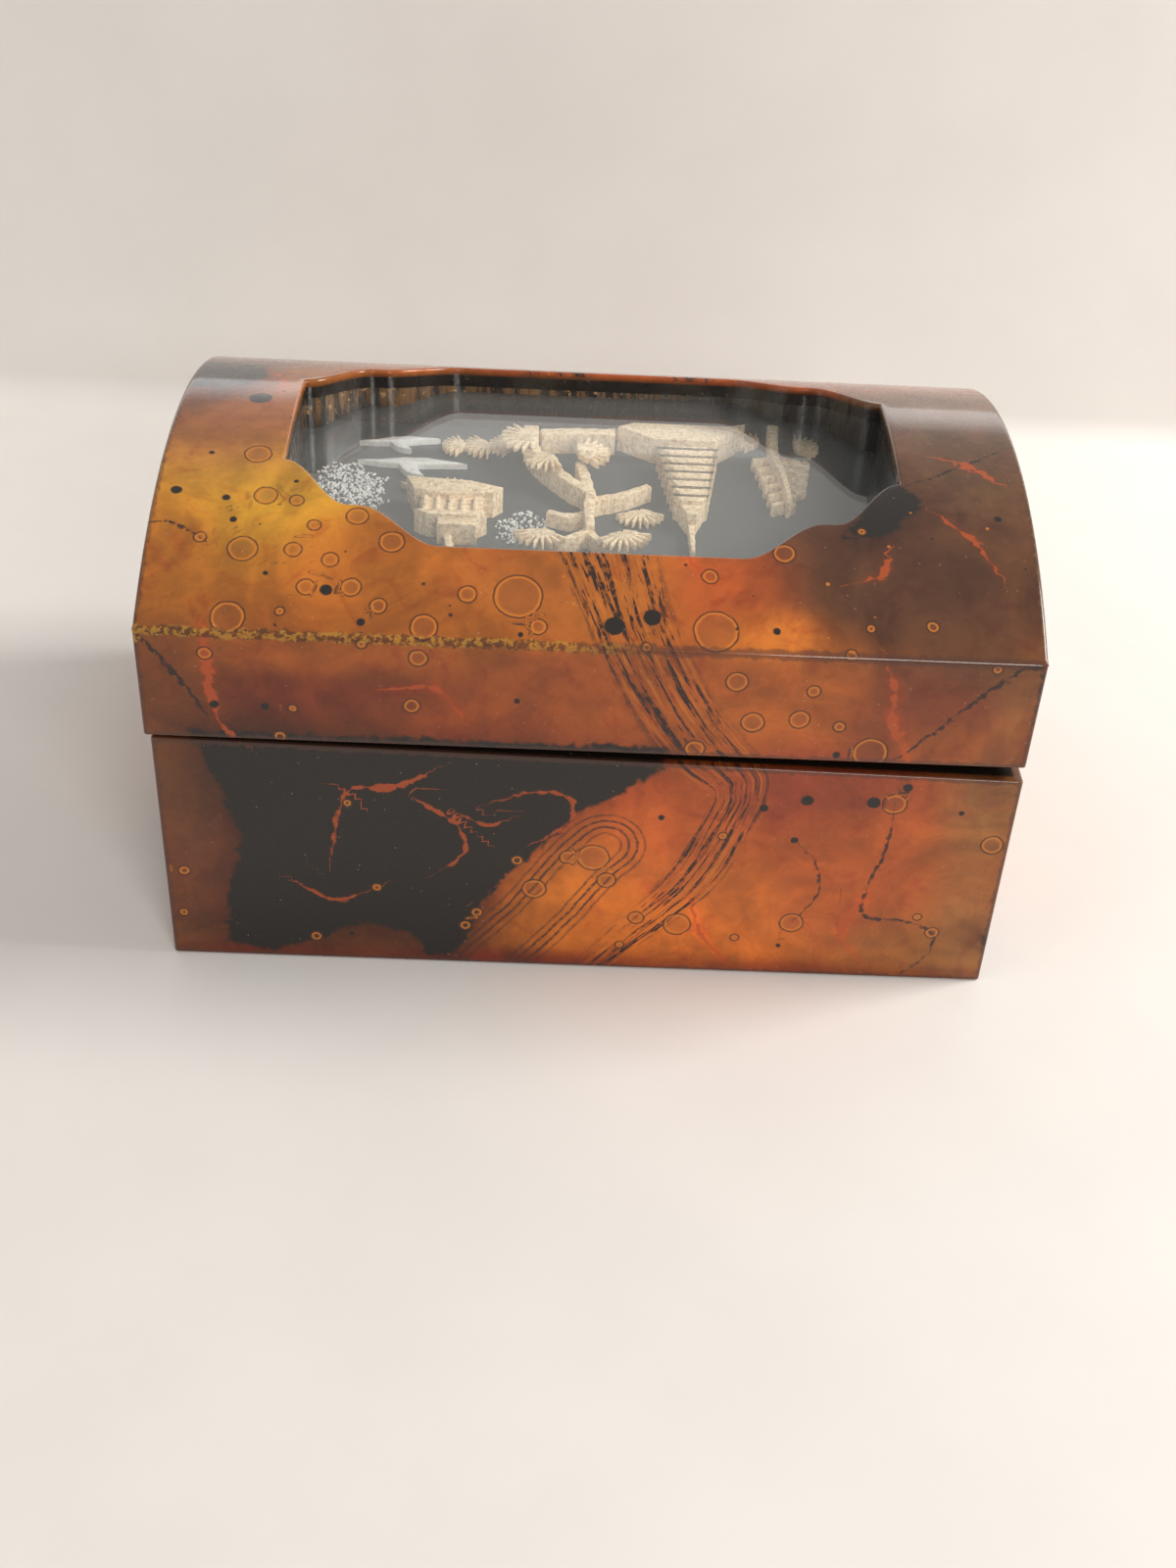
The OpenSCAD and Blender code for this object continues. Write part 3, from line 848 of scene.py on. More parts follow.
@dataclass(frozen=True)
class TortoiseLacquer:
    """Marbled amber and black lacquer under a clear coat."""

    black: Colour = (0.013, 0.009, 0.007)
    vein: Colour = (0.36, 0.072, 0.012)
    bright: Colour = (0.56, 0.17, 0.018)
    gold: Colour = (0.42, 0.22, 0.025)
    dust: Colour = (0.62, 0.58, 0.52)
    coat_roughness: float = 0.09

    def material(self) -> bpy.types.Material:
        """The finish as a material that reads the painted attributes."""
        material, w, shader = new_material("tortoise_lacquer")
        at = w.millimetres()
        cloud = w.noise(at, 0.045, 4.0, 0.6, 1.2)
        mottle = w.noise(at, 0.22, 4.0, 0.62, 0.8)
        tint = w.attribute("tint", "Color")
        light = w.plus(w.span(cloud, 0.3, 0.7, 0.72, 1.22), w.span(mottle, 0.35, 0.65, -0.06, 0.07))
        grey = w.add("ShaderNodeCombineColor", {0: light, 1: light, 2: light})
        colour = w.mix(1.0, tint, grey.outputs[0], "MULTIPLY")
        flush = w.span(w.noise(at, 0.09, 3.0, 0.6, 1.5), 0.5, 0.72)
        deep = w.mix(1.0, colour, (0.72, 0.42, 0.5), "MULTIPLY")
        colour = w.mix(w.times(flush, 0.55), colour, deep)
        colour = self.pooled(w, at, colour)
        colour, relief = self.ringed(w, at, colour)
        colour = self.edged(w, at, colour)
        rub = worn(w, at, Scratch_Scale=0.42, Scratches=0.5, Dust_Scale=0.55, Dust=0.42)
        colour = w.mix(w.times(rub["Scratch"], 0.20), colour, self.dust)
        colour = w.mix(w.times(rub["Dust Mask"], 0.5), colour, self.dust)
        w.feed(shader.inputs["Base Color"], colour)
        rough = w.plus(w.span(mottle, 0.3, 0.7, 0.22, 0.32), w.times(rub["Dust Mask"], 0.3))
        w.feed(shader.inputs["Roughness"], rough)
        peel = w.noise(at, 0.35, 2.0, 0.5)
        height = w.plus(w.times(peel, 0.5), w.times(relief, 0.35))
        height = w.minus(height, w.times(rub["Scratch"], 0.12))
        normal = w.bump(height, 0.16, 0.2)
        w.feed(shader.inputs["Normal"], normal)
        shader.inputs["Coat Weight"].default_value = 0.75
        shader.inputs["Coat Roughness"].default_value = self.coat_roughness
        shader.inputs["Specular IOR Level"].default_value = 0.1
        return material

    def pooled(self, w: Wiring, at: Socket, colour: Socket) -> Socket:
        """Adds the black pools, the swirl lines, the streaks, the strings and the veins."""
        fray = w.times(w.minus(w.noise(at, 0.30, 5.0, 0.62, 0.6), 0.5), 5.0)
        depth = w.attribute("dark")
        pool = w.span(w.plus(depth, fray), -0.5, 0.9)
        smoke = w.times(w.span(w.plus(depth, fray), -9.0, 1.0), 0.55)
        smoky = w.mix(1.0, colour, (0.42, 0.22, 0.2), "MULTIPLY")
        colour = w.mix(smoke, colour, smoky)
        colour = w.mix(pool, colour, self.black)
        swirl = w.add("ShaderNodeSeparateXYZ", {0: w.attribute("swirl", "Vector")}).outputs
        warp = w.times(w.minus(w.noise(at, 0.25, 2.0), 0.5), 0.9)
        wave = w.math("PINGPONG", w.plus(swirl[0], warp), 0.8)
        beads = w.span(w.noise(at, 0.9, 2.0), 0.40, 0.52, 0.6, 1.0)
        line = w.times(w.span(wave, 0.16, 0.40, 1.0, 0.0), w.times(swirl[1], beads))
        colour = w.mix(w.times(line, 0.85, clamp=True), colour, (0.05, 0.018, 0.01))
        streak = w.add("ShaderNodeSeparateXYZ", {0: w.attribute("streak", "Vector")}).outputs
        drawn = w.add("ShaderNodeCombineXYZ", {"X": w.times(streak[0], 3.4), "Y": w.times(streak[1], 0.022)})
        threads = w.noise(drawn.outputs[0], 1.6, 4.0, 0.75)
        cut = w.span(threads, 0.522, 0.545)
        breaks = w.span(w.noise(at, 0.75, 2.0), 0.36, 0.50, 0.5, 1.0)
        warm = w.span(threads, 0.38, 0.46, 1.0, 0.0)
        colour = w.mix(w.times(warm, w.times(streak[2], 0.55)), colour, self.bright)
        thread = w.times(cut, w.times(streak[2], breaks), clamp=True)
        colour = w.mix(thread, colour, (0.03, 0.012, 0.008))
        for name, tone in (("string", (0.02, 0.01, 0.008)), ("vein", self.vein)):
            part = w.add("ShaderNodeSeparateXYZ", {0: w.attribute(name, "Vector")}).outputs
            width = w.times(part[1], w.span(w.noise(at, 0.8 if name == "string" else 0.35, 3.0), 0.35, 0.65,
                                            0.1, 1.35))
            away = w.math("ABSOLUTE", w.plus(part[0], w.times(w.minus(w.noise(at, 0.4, 3.0), 0.5), 1.6)))
            drop = w.minus(away, width)
            mask = w.times(w.span(drop, -0.25, 0.2, 1.0, 0.0), part[2], clamp=True)
            colour = w.mix(w.times(mask, 0.92 if name == "string" else 0.75), colour, tone)
            if name == "vein":
                halo = w.times(w.span(drop, 0.0, 1.6, 0.45, 0.0), part[2], clamp=True)
                colour = w.mix(halo, colour, w.mix(1.0, colour, (1.5, 1.0, 0.9), "MULTIPLY"))
        return colour

    def ringed(
        self, w: Wiring, at: Socket, colour: Socket
    ) -> tuple[Socket, Socket]:
        """Adds the bubble rings, the black drops and the fine specks; gives the colour and the relief."""
        ring = w.attribute("ring", "Vector")
        part = w.add("ShaderNodeSeparateXYZ", {0: ring}).outputs
        kind = w.add("ShaderNodeSeparateXYZ", {0: w.attribute("ring_kind", "Vector")}).outputs
        flat = w.add("ShaderNodeCombineXYZ", {"X": part[0], "Y": part[1]}).outputs[0]
        away = w.vector("LENGTH", flat, out=1)
        wobble = w.times(w.minus(w.noise(at, 0.5, 2.0), 0.5), 0.5)
        gap = w.plus(w.minus(away, part[2]), wobble)
        line = w.times(w.span(w.math("ABSOLUTE", gap), 0.10, 0.34, 1.0, 0.0), kind[0], clamp=True)
        shade = w.times(w.span(w.math("ABSOLUTE", w.minus(gap, 0.42)), 0.05, 0.3, 1.0, 0.0), kind[0])
        inside = w.times(w.span(gap, -0.7, 0.0, 1.0, 0.0), kind[0])
        is_ring = w.minus(1.0, kind[1], clamp=True)
        colour = w.mix(w.times(w.times(inside, is_ring), 0.35, clamp=True), colour, (0.20, 0.055, 0.015))
        colour = w.mix(w.times(w.times(shade, is_ring), 0.85, clamp=True), colour, (0.05, 0.018, 0.008))
        colour = w.mix(w.times(w.times(line, is_ring), 0.8, clamp=True), colour, self.bright)
        drop = w.times(w.span(gap, -0.2, 0.18, 1.0, 0.0), w.times(kind[0], kind[1]), clamp=True)
        colour = w.mix(drop, colour, self.black)
        cells = w.add("ShaderNodeTexVoronoi", {"Vector": at, "Scale": 0.34}, feature="F1")
        chance = w.add("ShaderNodeSeparateColor", {0: cells.outputs["Color"]}).outputs
        many = w.math("GREATER_THAN", w.plus(chance[0], w.times(w.noise(at, 0.05, 1.0), 0.5)), 0.84)
        size = w.times(chance[1], 0.16)
        speck = w.times(w.span(w.minus(cells.outputs["Distance"], size), -0.04, 0.02, 1.0, 0.0), many)
        tone = w.mix(w.math("GREATER_THAN", chance[2], 0.62), self.black, self.bright)
        visible = w.times(speck, w.times(w.attribute("painted"), 0.85), clamp=True)
        return w.mix(visible, colour, tone), line

    def edged(self, w: Wiring, at: Socket, colour: Socket) -> Socket:
        """Adds the rubbed arrises and turns unpainted faces black."""
        arris = w.add("ShaderNodeSeparateXYZ", {0: w.attribute("arris", "Vector")}).outputs
        ragged = w.times(w.noise(at, 0.45, 4.0, 0.65), 2.3)
        near = w.span(w.minus(arris[0], ragged), -0.45, 0.15, 1.0, 0.0)
        crack = w.span(w.noise(at, 0.8, 4.0, 0.7), 0.44, 0.53)
        rubbed = w.mix(crack, self.gold, (0.02, 0.012, 0.008))
        tone = w.mix(arris[1], (0.07, 0.028, 0.018), rubbed)
        colour = w.mix(w.times(near, w.times(w.attribute("painted"), 0.62), clamp=True), colour, tone)
        return w.mix(w.attribute("painted"), self.black, colour)


@dataclass(frozen=True)
class BlackLacquer:
    """Plain black lacquer, brushed on, with a gold-brown cast where it is thin."""

    name: str = "black_lacquer"
    black: Colour = (0.012, 0.009, 0.008)
    brown: Colour = (0.17, 0.085, 0.03)
    gilt: Colour = (0.55, 0.33, 0.12)

    def material(self) -> bpy.types.Material:
        """The finish as a material; the attribute named cut says where the raw cut edge shows."""
        material, w, shader = new_material(self.name)
        at = w.millimetres()
        brushed = w.add("ShaderNodeMapping", {"Vector": at, "Scale": (0.9, 0.9, 0.10)}).outputs[0]
        bands = w.noise(brushed, 0.55, 5.0, 0.7)
        raw = w.mix(w.span(bands, 0.42, 0.60), self.black, self.brown)
        raw = w.mix(w.span(w.noise(at, 0.7, 3.0), 0.60, 0.70), raw, self.gilt)
        thin = w.times(w.attribute("cut"), w.span(w.noise(at, 0.15, 2.0), 0.25, 0.5), clamp=True)
        colour = w.mix(thin, self.black, raw)
        rub = worn(w, at, Scratch_Scale=0.5, Scratches=0.5, Dust_Scale=0.8, Dust=0.7)
        colour = w.mix(w.times(rub["Dust Mask"], 0.35), colour, (0.45, 0.42, 0.38))
        w.feed(shader.inputs["Base Color"], colour)
        w.feed(shader.inputs["Roughness"], w.span(bands, 0.3, 0.7, 0.16, 0.34))
        w.feed(shader.inputs["Normal"], w.bump(w.plus(bands, w.times(rub["Scratch"], -0.2)), 0.5, 0.25))
        shader.inputs["Coat Weight"].default_value = 0.6
        shader.inputs["Coat Roughness"].default_value = 0.12
        return material


@dataclass(frozen=True)
class Velvet:
    """Short-pile velvet with brushed patches."""

    deep: Colour = (0.16, 0.006, 0.010)
    light: Colour = (0.36, 0.022, 0.030)

    def material(self) -> bpy.types.Material:
        """The finish as a material."""
        material, w, shader = new_material("red_velvet")
        at = w.millimetres()
        pile = w.noise(at, 4.5, 3.0, 0.7)
        brushed = w.span(w.noise(at, 0.035, 2.0, 0.5, 0.3), 0.3, 0.7)
        colour = w.mix(w.times(w.plus(pile, brushed), 0.5), self.deep, self.light)
        rub = worn(w, at, Scratches=0.0, Dust_Scale=0.7, Dust=1.0)
        colour = w.mix(w.times(rub["Dust Mask"], 0.35), colour, (0.55, 0.48, 0.44))
        w.feed(shader.inputs["Base Color"], colour)
        w.feed(shader.inputs["Roughness"], w.span(pile, 0.2, 0.8, 0.85, 1.0))
        w.feed(shader.inputs["Normal"], w.bump(w.plus(pile, w.times(brushed, 0.6)), 0.7, 0.35))
        shader.inputs["Sheen Weight"].default_value = 0.8
        shader.inputs["Sheen Roughness"].default_value = 0.35
        shader.inputs["Sheen Tint"].default_value = (1.0, 0.45, 0.45, 1.0)
        return material


@dataclass(frozen=True)
class DustyGlassWithPaintedReflection:
    """Clear window glass with dust, a faint smear and an even whitish veil that is a painted reflection of
    the room.
    """

    # Strength of the even diffuse veil over the whole pane: a painted reflection of the room, not dust.
    painted_reflection_veil: float = 0.05

    def material(self) -> bpy.types.Material:
        """The finish as a material; light passes through it to the picture below."""
        material, w, shader = new_material("dusty_glass_with_painted_reflection")
        at = w.millimetres()
        rub = worn(w, at, Scratch_Scale=0.4, Scratches=0.8, Dust_Scale=1.3, Dust=1.0)
        shader.inputs["Base Color"].default_value = (0.98, 1.0, 0.99, 1.0)
        shader.inputs["Transmission Weight"].default_value = 1.0
        shader.inputs["IOR"].default_value = 1.5
        smear = w.span(w.noise(at, 0.08, 4.0, 0.6, 0.8), 0.4, 0.75, 0.0, 0.05)
        w.feed(shader.inputs["Roughness"], w.plus(smear, w.times(rub["Scratch"], 0.1)))
        film = w.add("ShaderNodeBsdfDiffuse", {"Color": (0.78, 0.76, 0.72)}).outputs[0]
        # Painted reflection: the even veil is a whitish diffuse film standing in for the room's reflection;
        # the dust specks and scratches added to it are real dust and wear.
        mask = w.plus(w.times(rub["Dust Mask"], 0.55), self.painted_reflection_veil)
        mask = w.plus(mask, w.times(rub["Scratch"], 0.10), clamp=True)
        dust_and_painted_veil = w.add("ShaderNodeMixShader", {0: mask, 1: shader.outputs[0], 2: film}).outputs[0]
        ray = w.add("ShaderNodeLightPath").outputs
        through = w.math("MAXIMUM", ray["Is Shadow Ray"], ray["Is Diffuse Ray"])
        clear = w.add("ShaderNodeBsdfTransparent").outputs[0]
        final = w.add("ShaderNodeMixShader", {0: through, 1: dust_and_painted_veil, 2: clear}).outputs[0]
        w.feed(material.node_tree.nodes["Material Output"].inputs["Surface"], final)
        return material


@dataclass(frozen=True)
class Slate:
    """Dark painted paper behind the carving, with stray dust."""

    tone: Colour = (0.030, 0.037, 0.040)

    def material(self) -> bpy.types.Material:
        """The finish as a material."""
        material, w, shader = new_material("slate_backing")
        at = w.millimetres()
        paper = w.noise(at, 1.1, 5.0, 0.65)
        colour = w.mix(w.span(paper, 0.3, 0.7), self.tone, (0.055, 0.065, 0.068))
        rub = worn(w, at, Scratches=0.2, Dust_Scale=1.0, Dust=1.0)
        colour = w.mix(w.times(rub["Dust Mask"], 0.5), colour, (0.5, 0.5, 0.46))
        w.feed(shader.inputs["Base Color"], colour)
        w.feed(shader.inputs["Roughness"], w.span(paper, 0.3, 0.7, 0.7, 0.9))
        w.feed(shader.inputs["Normal"], w.bump(paper, 0.4, 0.2))
        return material


@dataclass(frozen=True)
class CarvedCork:
    """Pale cork with knife lines across the grain."""

    name: str = "carved_cork"
    pale: Colour = (0.93, 0.76, 0.52)
    warm: Colour = (0.55, 0.31, 0.13)
    lines: float = 1.0

    def material(self) -> bpy.types.Material:
        """The finish as a material."""
        material, w, shader = new_material(self.name)
        at = w.millimetres()
        grain = w.noise(at, 1.2, 5.0, 0.65)
        laid = w.add("ShaderNodeMapping", {"Vector": at, "Scale": (0.5, 2.6, 0.5)}).outputs[0]
        knife = w.noise(laid, 0.8, 4.0, 0.7, 0.4)
        colour = w.mix(w.span(grain, 0.42, 0.75), self.pale, self.warm)
        cuts = w.times(w.span(knife, 0.54, 0.62), self.lines, clamp=True)
        colour = w.mix(w.times(cuts, 0.45), colour, self.warm)
        pores = w.add("ShaderNodeTexVoronoi", {"Vector": at, "Scale": 1.1}, feature="F1").outputs["Distance"]
        colour = w.mix(w.span(pores, 0.10, 0.20, 0.5, 0.0), colour, (0.30, 0.15, 0.06))
        w.feed(shader.inputs["Base Color"], colour)
        w.feed(shader.inputs["Roughness"], w.span(grain, 0.3, 0.7, 0.7, 0.92))
        height = w.minus(grain, w.times(cuts, 0.8))
        w.feed(shader.inputs["Normal"], w.bump(height, 0.8, 0.22))
        shader.inputs["Subsurface Weight"].default_value = 0.12
        shader.inputs["Subsurface Radius"].default_value = (0.002, 0.001, 0.0005)
        return material


@dataclass(frozen=True)
class OldBrass:
    """Brass that has dulled in its hollows."""

    bright: Colour = (0.72, 0.50, 0.20)
    dull: Colour = (0.30, 0.19, 0.08)

    def material(self) -> bpy.types.Material:
        """The finish as a material."""
        material, w, shader = new_material("old_brass")
        at = w.millimetres()
        stain = w.noise(at, 0.6, 5.0, 0.65)
        rub = worn(w, at, Scratch_Scale=1.6, Scratches=1.0, Dust_Scale=1.2, Dust=0.3)
        colour = w.mix(w.span(stain, 0.40, 0.66), self.bright, self.dull)
        w.feed(shader.inputs["Base Color"], w.mix(w.times(rub["Scratch"], 0.5), colour, (0.85, 0.68, 0.38)))
        w.feed(shader.inputs["Roughness"], w.span(stain, 0.3, 0.7, 0.24, 0.48))
        w.feed(shader.inputs["Normal"], w.bump(w.plus(stain, rub["Scratch"]), 0.3, 0.08))
        shader.inputs["Metallic"].default_value = 1.0
        return material


# ---------------------------------------------------------------- the painted pattern

POOLS: list[tuple[float, float, float, float, Colour]] = [
    (-80, 30, 7, 40, (0.10, 0.045, 0.022)), (-45, 30, 26, 30, (0.05, 0.022, 0.014)),
    (-46, 6, 16, 8, (0.13, 0.045, 0.016)), (-6, 24, 14, 14, (0.56, 0.165, 0.022)),
    (14, 40, 14, 14, (0.46, 0.10, 0.022)), (24, 12, 18, 14, (0.56, 0.15, 0.022)),
    (44, 50, 16, 9, (0.22, 0.042, 0.02)), (56, 28, 14, 16, (0.42, 0.095, 0.022)),
    (80, 30, 7, 26, (0.26, 0.125, 0.04)), (66, 8, 14, 8, (0.27, 0.10, 0.022)),
    (0, 1, 90, 2.5, (0.15, 0.02, 0.012)), (-80, 68, 8, 12, (0.20, 0.06, 0.02)),
    (-55, 67, 18, 5, (0.17, 0.035, 0.018)), (-50, 76, 22, 4, (0.30, 0.085, 0.02)),
    (-25, 61, 20, 5, (0.32, 0.075, 0.02)), (2, 72, 18, 7, (0.29, 0.075, 0.02)),
    (8, 60, 16, 5, (0.36, 0.10, 0.022)), (38, 70, 16, 9, (0.38, 0.105, 0.022)),
    (60, 69, 12, 6, (0.14, 0.036, 0.02)), (72, 60, 12, 5, (0.27, 0.08, 0.022)),
    (-66, 113, 13, 12, (0.60, 0.33, 0.03)), (-80, 97, 9, 12, (0.42, 0.15, 0.022)),
    (-46, 97, 16, 9, (0.42, 0.14, 0.022)), (-40, 84, 22, 5, (0.31, 0.10, 0.02)),
    (-18, 95, 12, 9, (0.37, 0.12, 0.026)), (2, 93, 12, 10, (0.36, 0.12, 0.026)),
    (24, 94, 9, 9, (0.44, 0.10, 0.026)), (32, 84, 9, 4, (0.58, 0.19, 0.03)),
    (-70, 130, 10, 14, (0.33, 0.125, 0.045)), (-78, 158, 8, 12, (0.09, 0.036, 0.02)),
    (-64, 160, 6, 12, (0.28, 0.10, 0.022)), (60, 98, 20, 16, (0.075, 0.038, 0.024)),
    (72, 140, 13, 24, (0.11, 0.062, 0.034)), (52, 112, 12, 10, (0.085, 0.045, 0.03)),
]

BUBBLES: list[tuple[float, float, float]] = [
    (-67.5, 124, 2.2), (-64.5, 112, 1.8), (-46.5, 107.5, 1.7), (-39.5, 101.5, 2.0), (-67.5, 98.5, 2.4),
    (-58, 98.8, 1.2), (-50.8, 96.8, 1.2), (-54.8, 90.5, 1.3), (-46.4, 90.8, 1.5), (-41, 87, 1.2),
    (-68.8, 83.5, 2.8), (-32.3, 83, 2.2), (-24.5, 90.3, 1.4), (-15, 90.3, 4.2), (-11, 84, 1.2),
    (22.3, 84.5, 3.8), (21.2, 96.4, 1.2), (35.5, 102.5, 1.8), (-58.5, 111, 1.0), (-54.5, 104.8, 0.9),
    (-33.2, 76.3, 1.4), (-73, 75.6, 1.0), (-34.5, 65.4, 1.2), (20, 57.8, 1.6), (30.6, 64.6, 1.8),
    (26.8, 73.8, 1.7), (39.5, 65.7, 1.6), (47.3, 64.4, 0.8), (41.5, 72.3, 0.9), (54, 58.5, 3.0),
    (1.7, 29.8, 2.8), (-10, 21, 2.0), (-3.5, 29.7, 1.2), (19.8, 12.8, 2.4), (11.2, 14.2, 1.2),
    (4.6, 24, 1.5), (43.5, 14.3, 2.0), (60.5, 46.2, 2.0), (73, 13, 1.0), (81.5, 36.8, 1.8),
]

DROPS: list[tuple[float, float, float]] = [
    (-81.8, 112.5, 1.1), (-72, 111, 0.8), (-70, 105.5, 0.7), (-51, 90, 1.2), (-44, 83.5, 0.8),
    (-14.2, 82.2, 0.6), (3.2, 84.8, 1.9), (10.3, 86.9, 1.7), (33.7, 85, 0.7), (-70, 146, 2.4),
    (43.2, 46.3, 1.3), (56.4, 46.4, 1.4), (62.5, 50.4, 1.0), (34.8, 44, 0.9), (41.8, 36.2, 0.8),
    (-72, 64, 0.9),
]

BLACK_POOLS: list[list[tuple[float, float]]] = [
    [(15, 58), (14, 52), (5, 45), (-2, 40), (-8, 33), (-14, 26), (-20, 18), (-23, 9), (-26, 3), (-32, 1),
     (-36, 8),
     (-46, 10), (-54, 5), (-66, 1), (-74, 4), (-72, 20), (-69, 32), (-73, 44), (-78, 58)],
    [(-86, 150), (-74, 152), (-70, 160), (-72, 170), (-86, 172)],
    [(46, 106), (52, 116), (58, 124), (64, 118), (57, 108)],
]

STRINGS: list[tuple[float, list[tuple[float, float]]]] = [
    (0.5, [(60.5, 46), (60.5, 35), (58, 25), (58, 17), (66, 16), (73, 13), (73, 7), (68, 1)]),
    (0.28, [(42, 36), (47, 30), (48, 22), (44, 15)]),
    (0.45, [(-86, 104), (-81, 104), (-76, 101)]),
    (0.7, [(-85, 79), (-79, 71), (-74, 62)]),
    (0.6, [(60, 58), (82, 80), (84.5, 66)]),
    (0.35, [(60, 122), (70, 128), (84, 138)]),
]

VEINS: list[tuple[float, list[tuple[float, float]]]] = [
    (0.9, [(-48, 45), (-38, 46), (-31, 50)]), (0.6, [(-48, 45), (-50, 35), (-51, 28)]),
    (0.7, [(-34, 43), (-26, 37), (-24, 30), (-28, 26)]), (0.5, [(-26, 40), (-20, 37), (-17, 38)]),
    (0.6, [(-19, 43), (-10, 46), (-3, 44), (-4, 38), (-10, 33)]),
    (1.2, [(-73, 79), (-72, 62), (-69, 57)]), (1.1, [(55, 78), (57, 73), (57, 66), (60, 62), (62, 56)]),
    (0.7, [(-38, 69), (-30, 70), (-26, 65)]), (1.0, [(51, 97), (54, 98), (55, 101)]),
    (0.8, [(67, 113), (72, 108), (76, 101)]), (1.4, [(69, 132), (74, 130), (78, 126)]),
    (0.7, [(-72, 165), (-67, 158), (-66, 150)]), (0.6, [(20, 96), (17, 101)]),
    (0.5, [(22, 20), (25, 10), (30, 4)]),
    (0.5, [(-58, 20), (-50, 16), (-42, 20)]), (0.7, [(58, 22), (54, 12), (58, 6)]),
    (0.9, [(138, 8), (150, 26), (146, 48)]), (1.0, [(168, 58), (182, 70), (190, 88)]),
    (0.6, [(104, 60), (112, 74), (108, 84)]),
    (0.9, [(-108, 16), (-120, 36), (-112, 54)]), (0.8, [(-180, 60), (-168, 72), (-172, 84)]),
    (1.0, [(20, 276), (34, 252), (30, 230)]), (0.8, [(50, 198), (60, 214), (74, 222)]),
    (0.9, [(-70, 244), (-60, 225), (-66, 204)]),
]

SWIRL_PATH = [(-24, -4), (-10, 13), (-1, 27), (4, 33)]
STREAKS: list[tuple[list[float], list[tuple[float, float]]]] = [
    ([10, 8.5, 8, 7.5, 5.5, 6, 5, 3], [(1, 103), (8.5, 80), (20, 60), (29.5, 50), (28, 40), (22, 25),
                                       (10, 10), (0, -2)]),
    ([5, 8, 6, 4], [(98, -2), (116, 28), (110, 58), (128, 96)]),
    ([7, 5, 8, 5], [(-192, 92), (-152, 62), (-160, 32), (-132, -2)]),
    ([8, 6, 9, 6], [(-58, 285), (-20, 252), (-34, 214), (-6, 176)]),
]


def polygon_depth(x: np.ndarray, s: np.ndarray, corners: Sequence[tuple[float, float]]) -> np.ndarray:
    """Distance inside a polygon, negative outside it."""
    inside = np.zeros(len(x), bool)
    away = np.full(len(x), 1e9)
    for (ax, ay), (bx, by) in zip(corners, list(corners[1:]) + [corners[0]]):
        t = np.clip(((x - ax) * (bx - ax) + (s - ay) * (by - ay)) / ((bx - ax) ** 2 + (by - ay) ** 2), 0, 1)
        away = np.minimum(away, np.hypot(x - ax - t * (bx - ax), s - ay - t * (by - ay)))
        crosses = (ay > s) != (by > s)
        with np.errstate(divide="ignore", invalid="ignore"):
            inside ^= crosses & (x < ax + (s - ay) * (bx - ax) / (by - ay))
    return np.where(inside, away, -away)


def line_field(x: np.ndarray, s: np.ndarray, path: np.ndarray) -> tuple[np.ndarray, np.ndarray, np.ndarray]:
    """Signed distance from a path, plain distance, and the share of the way along it."""
    signed, plain, share = np.zeros(len(x)), np.full(len(x), 1e9), np.zeros(len(x))
    count = len(path) - 1
    for i in range(count):
        a, d = path[i], path[i + 1] - path[i]
        t = np.clip(((x - a[0]) * d[0] + (s - a[1]) * d[1]) / (d @ d), 0, 1)
        off_x, off_s = x - a[0] - t * d[0], s - a[1] - t * d[1]
        away = np.hypot(off_x, off_s)
        closer = away < plain
        side = np.sign(d[0] * off_s - d[1] * off_x)
        signed = np.where(closer, side * away, signed)
        share = np.where(closer, (i + t) / count, share)
        plain = np.where(closer, away, plain)
    return signed, plain, share


